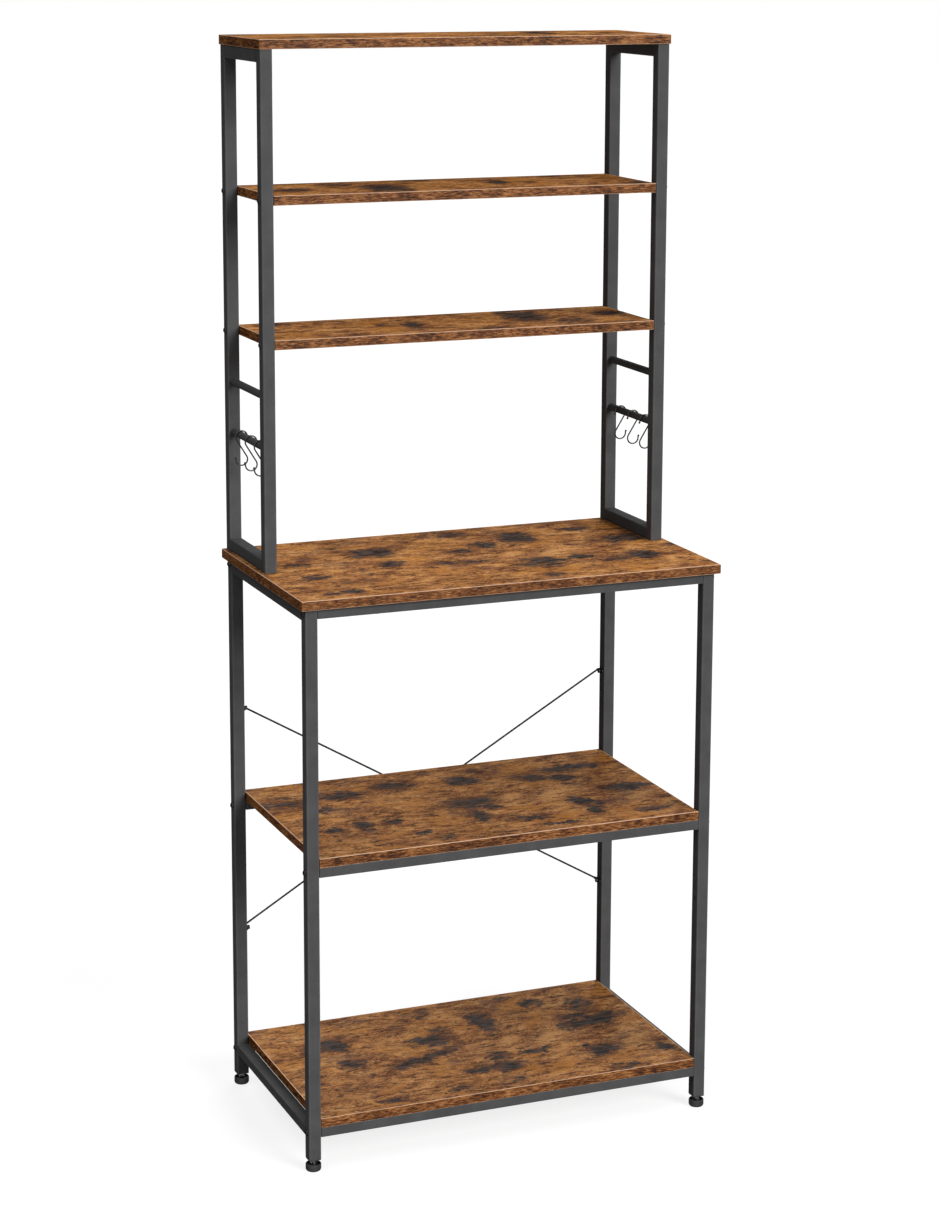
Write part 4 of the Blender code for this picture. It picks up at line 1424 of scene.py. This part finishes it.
@dataclass
class CrossBrace(SubAssembly):
    """Two thin rods that cross behind the shelves, their ends bent, swollen and hammered flat."""

    radius: float = 0.0016
    plane_y: float = 0.1949
    tab_x: float = 0.3211
    tab_width: float = 0.0066
    tab_thickness: float = 0.0022
    tip_y: float = 0.175
    bend: float = 0.0034
    sides: int = 20
    rod_steps: int = 24
    squareness: float = 0.45
    tip_angles: tuple[float, ...] = (20, 40, 58, 72, 82, 88)

    def section(
        self, centre: Vector, across: Vector, through: Vector, width: float, thickness: float
    ) -> Ring:
        """One cross-section of the rod, from round to a flat bar with round edges.

        Args:
            centre: its middle.
            across: the direction of its width.
            through: the direction of its thickness.
            width: its full width.
            thickness: its full thickness.

        Returns:
            The ring.
        """
        flat = min(1.0, max(0.0, width / thickness - 1.0))
        power = 1.0 - self.squareness * flat
        ring = []
        for side in range(self.sides):
            angle = 2 * math.pi * side / self.sides
            x = math.copysign(abs(math.cos(angle)) ** power, math.cos(angle)) * width / 2
            y = math.copysign(abs(math.sin(angle)) ** power, math.sin(angle)) * thickness / 2
            ring.append(centre + across * x + through * y)
        return ring

    def upward(self, towards: Vector) -> Vector:
        """The direction square to a run and to Y that points up."""
        across = towards.cross(Vector(Way.BACK.value))
        return -across if across.z < 0 else across

    def end(self, knee: Vector, towards: Vector, sense: int) -> list[Ring]:
        """The rings of one end, from its bend to its tip.

        Args:
            knee: where the rod's straight run meets the tab's line.
            towards: the straight run's direction, outwards.
            sense: 1 if the rod is skinned outwards here, -1 if inwards.

        Returns:
            The rings, outwards.
        """
        rings = []
        forward, upright = -Vector(Way.BACK.value), Vector(Way.UP.value)
        round_size, steps = 2 * self.radius, 8
        wider, thicker, swell_end = 0.50, 0.45, 0.8
        centre = knee + (forward - towards) * self.bend
        for step in range(steps + 1):
            share = step / steps
            cosine, sine = math.cos(math.pi / 2 * share), math.sin(math.pi / 2 * share)
            spot = centre + (towards * sine - forward * cosine) * self.bend
            way = (towards * cosine + forward * sine).normalized()
            across = self.upward(towards).lerp(upright, share).normalized()
            swell = math.sin(math.pi * min(1.0, share / swell_end))
            flattened = max(0.0, share - 0.5) * 2
            width = round_size * (1 + wider * swell) + (self.tab_width - round_size) * flattened
            thickness = round_size * (1 + thicker * swell) + (self.tab_thickness - round_size) * flattened
            through = way.cross(across).normalized() * sense
            rings.append(self.section(spot, across, through, width, thickness))
        half, lead, least_width = self.tab_width / 2, 0.002, 0.0004
        run = [self.plane_y - self.bend - lead, self.tip_y + half]
        sines = [math.sin(math.radians(angle)) for angle in self.tip_angles]
        run += [self.tip_y + half * (1 - sine) for sine in sines]
        for y in run:
            into = max(0.0, self.tip_y + half - y)
            width = max(least_width, 2 * math.sqrt(max(0.0, half * half - into * into)))
            spot = Vector((math.copysign(self.tab_x, knee.x), y, knee.z))
            through = forward.cross(upright) * sense
            rings.append(self.section(spot, upright, through, width, min(self.tab_thickness, width)))
        return rings

    def rod(self, name: str, sign: int, bow: float) -> None:
        """Adds one rod in place of its CAD node.

        Args:
            name: the CAD node's name.
            sign: 1 if the rod falls towards +X, -1 if it rises.
            bow: how far back it bows where the rods cross.
        """
        first = Vector((-sign * self.tab_x, self.plane_y, PLAN.brace_high))
        last = Vector((sign * self.tab_x, self.plane_y, PLAN.brace_low))
        towards = (last - first).normalized()
        across = self.upward(towards)
        bent, size = self.bend / (last - first).length, 2 * self.radius
        rings = self.end(first, -towards, -1)[::-1]
        for step in range(1, self.rod_steps):
            share = bent + (1 - 2 * bent) * step / self.rod_steps
            spot = first.lerp(last, share) + Vector((0.0, bow * math.sin(math.pi * share), 0.0))
            rings.append(self.section(spot, across, towards.cross(across), size, size))
        rings += self.end(last, towards, 1)
        self.add(f"{name}_wire", skin(name, rings), BLACK_STEEL, [name], angle=50.0)

    def build(self) -> None:
        """Adds both rods."""
        self.rod("brace_rod_falling", 1, 0.0)
        self.rod("brace_rod_rising", -1, 2 * self.radius + PLAN.gap)


@dataclass
class HookSet(SubAssembly):
    """Six S-hooks of bent wire that hang on the lower bars."""

    wire_radius: float = 0.0012
    loop: float = 0.0096
    spacing: float = 0.0367
    tip: float = 0.0048
    flare: float = 0.0016
    knob: float = 1.5
    step: float = 0.0005
    tip_steps: int = 8
    loop_steps: int = 48
    places: tuple[float, ...] = (0.047, 0.093, 0.142)
    wire: Tool = field(default_factory=wire_tool)

    def path(self, x: float, y: float, inward: float) -> Ring:
        """The centre line of one hook, from tip to tip.

        Args:
            x: the bar's X.
            y: the hook's Y.
            inward: the sign of the way from the bar to the rack's middle.

        Returns:
            Its points.
        """
        upper_z = PLAN.lower_bar + PLAN.bar_radius + PLAN.gap + self.wire_radius - self.loop
        sweep = math.pi + math.asin(2 * self.loop / self.spacing)
        shares = [1 - step / self.tip_steps for step in range(self.tip_steps)]
        upper = [(self.loop + self.flare * share * share, -self.tip * share) for share in shares]
        angles = [sweep * step / self.loop_steps for step in range(self.loop_steps + 1)]
        upper += [(self.loop * math.cos(angle), self.loop * math.sin(angle)) for angle in angles]
        lower = [(-a, -b - self.spacing) for a, b in reversed(upper)]
        return [Vector((x + inward * a, y, upper_z + b)) for a, b in upper + lower]

    def build(self) -> None:
        """Adds the hooks, each on its own body."""
        values = {"Radius": self.wire_radius, "Step": self.step, "Sides": 14, "Knob": self.knob}
        values.update({"Ripple": 0.0, "Pitch": 1.0})
        for side, (number, y) in product(Side, enumerate(self.places, start=1)):
            hook = f"hook_{side.word}_{number}"
            source = path_mesh([self.path(side.value * PLAN.leg_x, y, -side.value)])
            mesh = self.wire.run(hook, HOOK_STEEL, values, source)
            self.add(f"s_{hook}_wire", mesh, HOOK_STEEL, [f"s_{hook}"], hook, angle=50.0)


@dataclass
class LevellingFeet(SubAssembly):
    """Four screw-in feet: a plug in the leg's end, a threaded stem and a ribbed cup."""

    pad_radius: float = 0.01225
    pad_height: float = 0.0115
    rib: float = 0.0003
    rib_count: int = 48
    web_count: int = 6
    web_radius: float = 0.00885
    thread_radius: float = 0.0030
    thread_depth: float = 0.0006
    pitch: float = 0.001
    thread_length: float = 0.026
    shoulder_radius: float = 0.0043
    nut: float = 0.0074
    flange: float = 0.0015
    plug_length: float = 0.022
    cup_sides: int = 72
    clearance: float = 0.0003
    repeat: Tool = field(default_factory=circle_tool)

    def insert(self, name: str, place: Matrix) -> None:
        """Adds the plug in a leg's end in place of its CAD node.

        Args:
            name: the CAD node's name.
            place: where its leg stands.
        """
        top = PLAN.leg_bottom - PLAN.gap
        foot, end = top - self.flange, top + self.plug_length
        side, bore = PLAN.tube, PLAN.tube - 2 * PLAN.wall - 2 * self.clearance
        wide, narrow = PLAN.corner, PLAN.corner / 2
        rows = [(side - 0.0008, wide, foot), (side, wide, foot + 0.0004), (side, wide, top)]
        rows += [(bore, narrow, top), (bore, narrow, end - 0.002), (bore - 0.002, narrow, end)]
        rings = [squircle(size, size, radius, height) for size, radius, height in rows]
        hole = [point.xy.normalized() * (self.thread_radius + self.clearance) for point in rings[0]]
        rings += [[Vector((*point, height)) for point in hole] for height in (end, top + 0.010, foot)]
        mesh = skin(name, rings, place, loop=True)
        self.add(f"{name}_plug", mesh, FOOT_PLASTIC, [name], weighted=True)

    def stem(self, name: str, body: str, place: Matrix) -> None:
        """Adds the turned stem with its rolled thread in place of its CAD node.

        Args:
            name: the CAD node's name.
            body: the CAD body that it rides on.
            place: where its leg stands.
        """
        sides, per_pitch = 24, 6
        wide, shoulder = self.shoulder_radius, PLAN.leg_bottom - 2 * PLAN.gap - self.flange
        rows = [(0.0030, 0.0033), (wide, 0.0037), (wide, 0.0122), (wide - 0.0003, 0.0125)]
        rows += [(self.nut, 0.0127, HEXAGON), (self.nut, shoulder - 0.0003, HEXAGON)]
        rows.append((self.thread_radius + self.clearance, shoulder))
        rings = stack(rows, sides)
        count = int(self.thread_length / self.pitch * per_pitch)
        for step in range(count + 1):
            height = self.thread_length * step / count
            fade = min(1.0, (self.thread_length - height) / (2 * self.thread_depth))
            ring = []
            for point in circle(1.0, shoulder + height, sides):
                turn = math.atan2(point.y, point.x) / (2 * math.pi)
                phase = (height / self.pitch - turn) % 1.0
                radius = self.thread_radius - self.thread_depth * (abs(2 * phase - 1) + 1 - fade)
                ring.append(Vector((point.x * radius, point.y * radius, point.z)))
            rings.append(ring)
        self.add(f"{name}_threaded", skin(name, rings, place), ZINC, [name], body, angle=32.0)

    def repeated(self, cup: Mesh, name: str, rings: Sequence[Ring], count: int, radius: float) -> Mesh:
        """Adds ribs or webs to the cup.

        Args:
            cup: the cup so far.
            name: the rib's or web's name.
            rings: its rings.
            count: how many go round.
            radius: how far out they stand.

        Returns:
            The new cup.
        """
        item = bpy.data.objects.new(name, skin(name, rings))
        cup = self.repeat.run(cup.name, FOOT_PLASTIC, {"Item": item, "Count": count, "Radius": radius}, cup)
        bpy.data.objects.remove(item)
        return cup

    def pad(self, name: str, body: str, place: Matrix) -> None:
        """Adds the ribbed cup in place of its CAD node.

        Args:
            name: the CAD node's name.
            body: the CAD body that it rides on.
            place: where its leg stands.
        """
        radius, top = self.pad_radius - self.rib, self.pad_height
        rows = [(0.0006, 0.0030), (0.0046, 0.0030), (0.0046, 0.0080), (0.0049, 0.0085), (0.0067, 0.0085)]
        rows += [(0.0072, 0.0081), (0.0072, 0.0050), (0.01045, 0.0050), (0.01045, top - 0.0006)]
        rows += [(0.0108, top), (radius - 0.0006, top), (radius - 0.0001, top - 0.0003)]
        rows += [(radius, top - 0.0009), (radius, 0.0024), (radius - 0.0005, 0.0010)]
        rows += [(radius - 0.0016, 0.0), (0.0090, 0.0), (0.0086, 0.0006), (0.0006, 0.0006)]
        mesh = skin(f"{name}_cup", stack(rows, self.cup_sides))
        rib = [squircle(0.0008, 0.0009, 0.0003, height, 2) for height in (0.0026, 0.0030, 0.0100, 0.0104)]
        mesh = self.repeated(mesh, "rib", rib, self.rib_count, self.pad_radius - 0.0004)
        web = [squircle(0.0036, 0.0011, 0.0002, height, 2) for height in (0.0048, 0.0074, 0.0076)]
        mesh = self.repeated(mesh, "web", web, self.web_count, self.web_radius)
        mesh.transform(place)
        self.add(f"{name}_moulded", mesh, FOOT_PLASTIC, [name], body, angle=40.0)

    def build(self) -> None:
        """Adds the four feet."""
        for side, depth in product(Side, Depth):
            label = f"{depth.word}_{side.word}"
            place = Matrix.Translation((side.value * PLAN.leg_x, depth.value * PLAN.leg_y, 0.0))
            self.insert(f"leg_insert_{label}", place)
            self.stem(f"foot_stem_{label}", f"stem_{label}", place)
            self.pad(f"foot_pad_{label}", f"pad_{label}", place)


@dataclass(frozen=True)
class Lamp:
    """A soft, far lamp. A strength of 1 shows a colour as written on a surface that faces it."""

    name: str
    direction: tuple[float, float, float]
    strength: float
    degrees_wide: float


@dataclass
class Studio:
    """The white floor and background, soft lamps, and the camera where the photograph was taken."""

    floor_size: float = 60.0
    floor_glow: float = 0.80
    floor_grey: Colour = (0.25, 0.25, 0.25, 1.0)
    ambient: float = 0.15
    camera_place: tuple[float, float, float] = (-1.67719, -4.1026, 1.90271)
    camera_turn: tuple[float, float, float] = (79.31682, -0.18712, -22.2234)
    lens: float = 84.031
    shift: float = -0.11975
    lamps: Sequence[Lamp] = (
        Lamp("key", (0.38, -0.78, 0.42), 1.08, 32.0),
        Lamp("left", (-0.45, -0.25, 0.86), 0.34, 40.0),
        Lamp("fill", (0.55, 0.75, 0.40), 0.45, 50.0),
    )

    def seen(self, graph: Graph) -> Socket:
        """A value of 1 for what the camera sees, directly, mirrored or through glass.

        Args:
            graph: the graph of the material or the world.

        Returns:
            The value.
        """
        rays = graph.add("ShaderNodeLightPath").outputs
        either = graph.maths("MAXIMUM", rays["Is Camera Ray"], rays["Is Glossy Ray"])
        return graph.maths("MAXIMUM", either, rays["Is Transmission Ray"])

    def add_floor(self) -> None:
        """Adds the floor, which looks white and keeps the rack's shadow."""
        half = self.floor_size / 2
        mesh = bpy.data.meshes.new("floor")
        corners = [(-half, -half, 0), (half, -half, 0), (half, half, 0), (-half, half, 0)]
        mesh.from_pydata(corners, [], [(0, 1, 2, 3)])
        material = bpy.data.materials.new("white_floor")
        material.use_nodes = True
        graph = Graph(material.node_tree)
        glow = graph.maths("MULTIPLY", self.seen(graph), self.floor_glow)
        feeds = {"Base Color": self.floor_grey, "Roughness": 0.9, "Specular IOR Level": 0.0}
        shader = material.node_tree.nodes["Principled BSDF"]
        graph.feed(shader, {**feeds, "Emission Color": WHITE, "Emission Strength": glow})
        mesh.materials.append(material)
        floor = linked("floor", mesh)

    def add_world(self) -> None:
        """Makes the surroundings white to the camera and dim as a light."""
        world = bpy.data.worlds.new("studio")
        bpy.context.scene.world = world
        world.use_nodes = True
        world.node_tree.nodes.clear()
        graph = Graph(world.node_tree)
        dim = graph.out("ShaderNodeBackground", {"Color": WHITE, "Strength": self.ambient})
        white = graph.out("ShaderNodeBackground", {"Color": WHITE, "Strength": 1.0})
        mixed = graph.out("ShaderNodeMixShader", {0: self.seen(graph), 1: dim, 2: white})
        graph.add("ShaderNodeOutputWorld", {"Surface": mixed})

    def add_lamp(self, lamp: Lamp) -> None:
        """Adds a lamp.

        Args:
            lamp: its values.
        """
        data = bpy.data.lights.new(lamp.name, "SUN")
        data.energy = lamp.strength * math.pi
        data.angle = math.radians(lamp.degrees_wide)
        linked(lamp.name, data).rotation_euler = Vector(lamp.direction).to_track_quat("Z", "Y").to_euler()

    def add_camera(self) -> None:
        """Adds the camera."""
        data = bpy.data.cameras.new("camera")
        data.sensor_width = 36.0
        data.lens = self.lens
        data.shift_y = self.shift
        camera = linked("camera", data)
        camera.location = self.camera_place
        camera.rotation_euler = [math.radians(angle) for angle in self.camera_turn]
        bpy.context.scene.camera = camera

    def build(self) -> None:
        """Sets the stage."""
        self.add_floor()
        self.add_world()
        for lamp in self.lamps:
            self.add_lamp(lamp)
        self.add_camera()
        bpy.context.scene.view_settings.view_transform = "Standard"
        LOG.info("Studio: floor, world, %d lamps and the camera", len(self.lamps))


def main() -> None:
    """Builds the looks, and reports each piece."""
    logging.basicConfig(level=logging.INFO, format="%(message)s")
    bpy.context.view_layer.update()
    Studio().build()
    parts = [Boards(), TubeFrame(), Fasteners(), CrossBrace(), HookSet(), LevellingFeet()]
    for part in parts:
        part.build()
    LOG.info("%d pieces", sum(len(part.pieces) for part in parts))


if __name__ == "__main__":
    main()
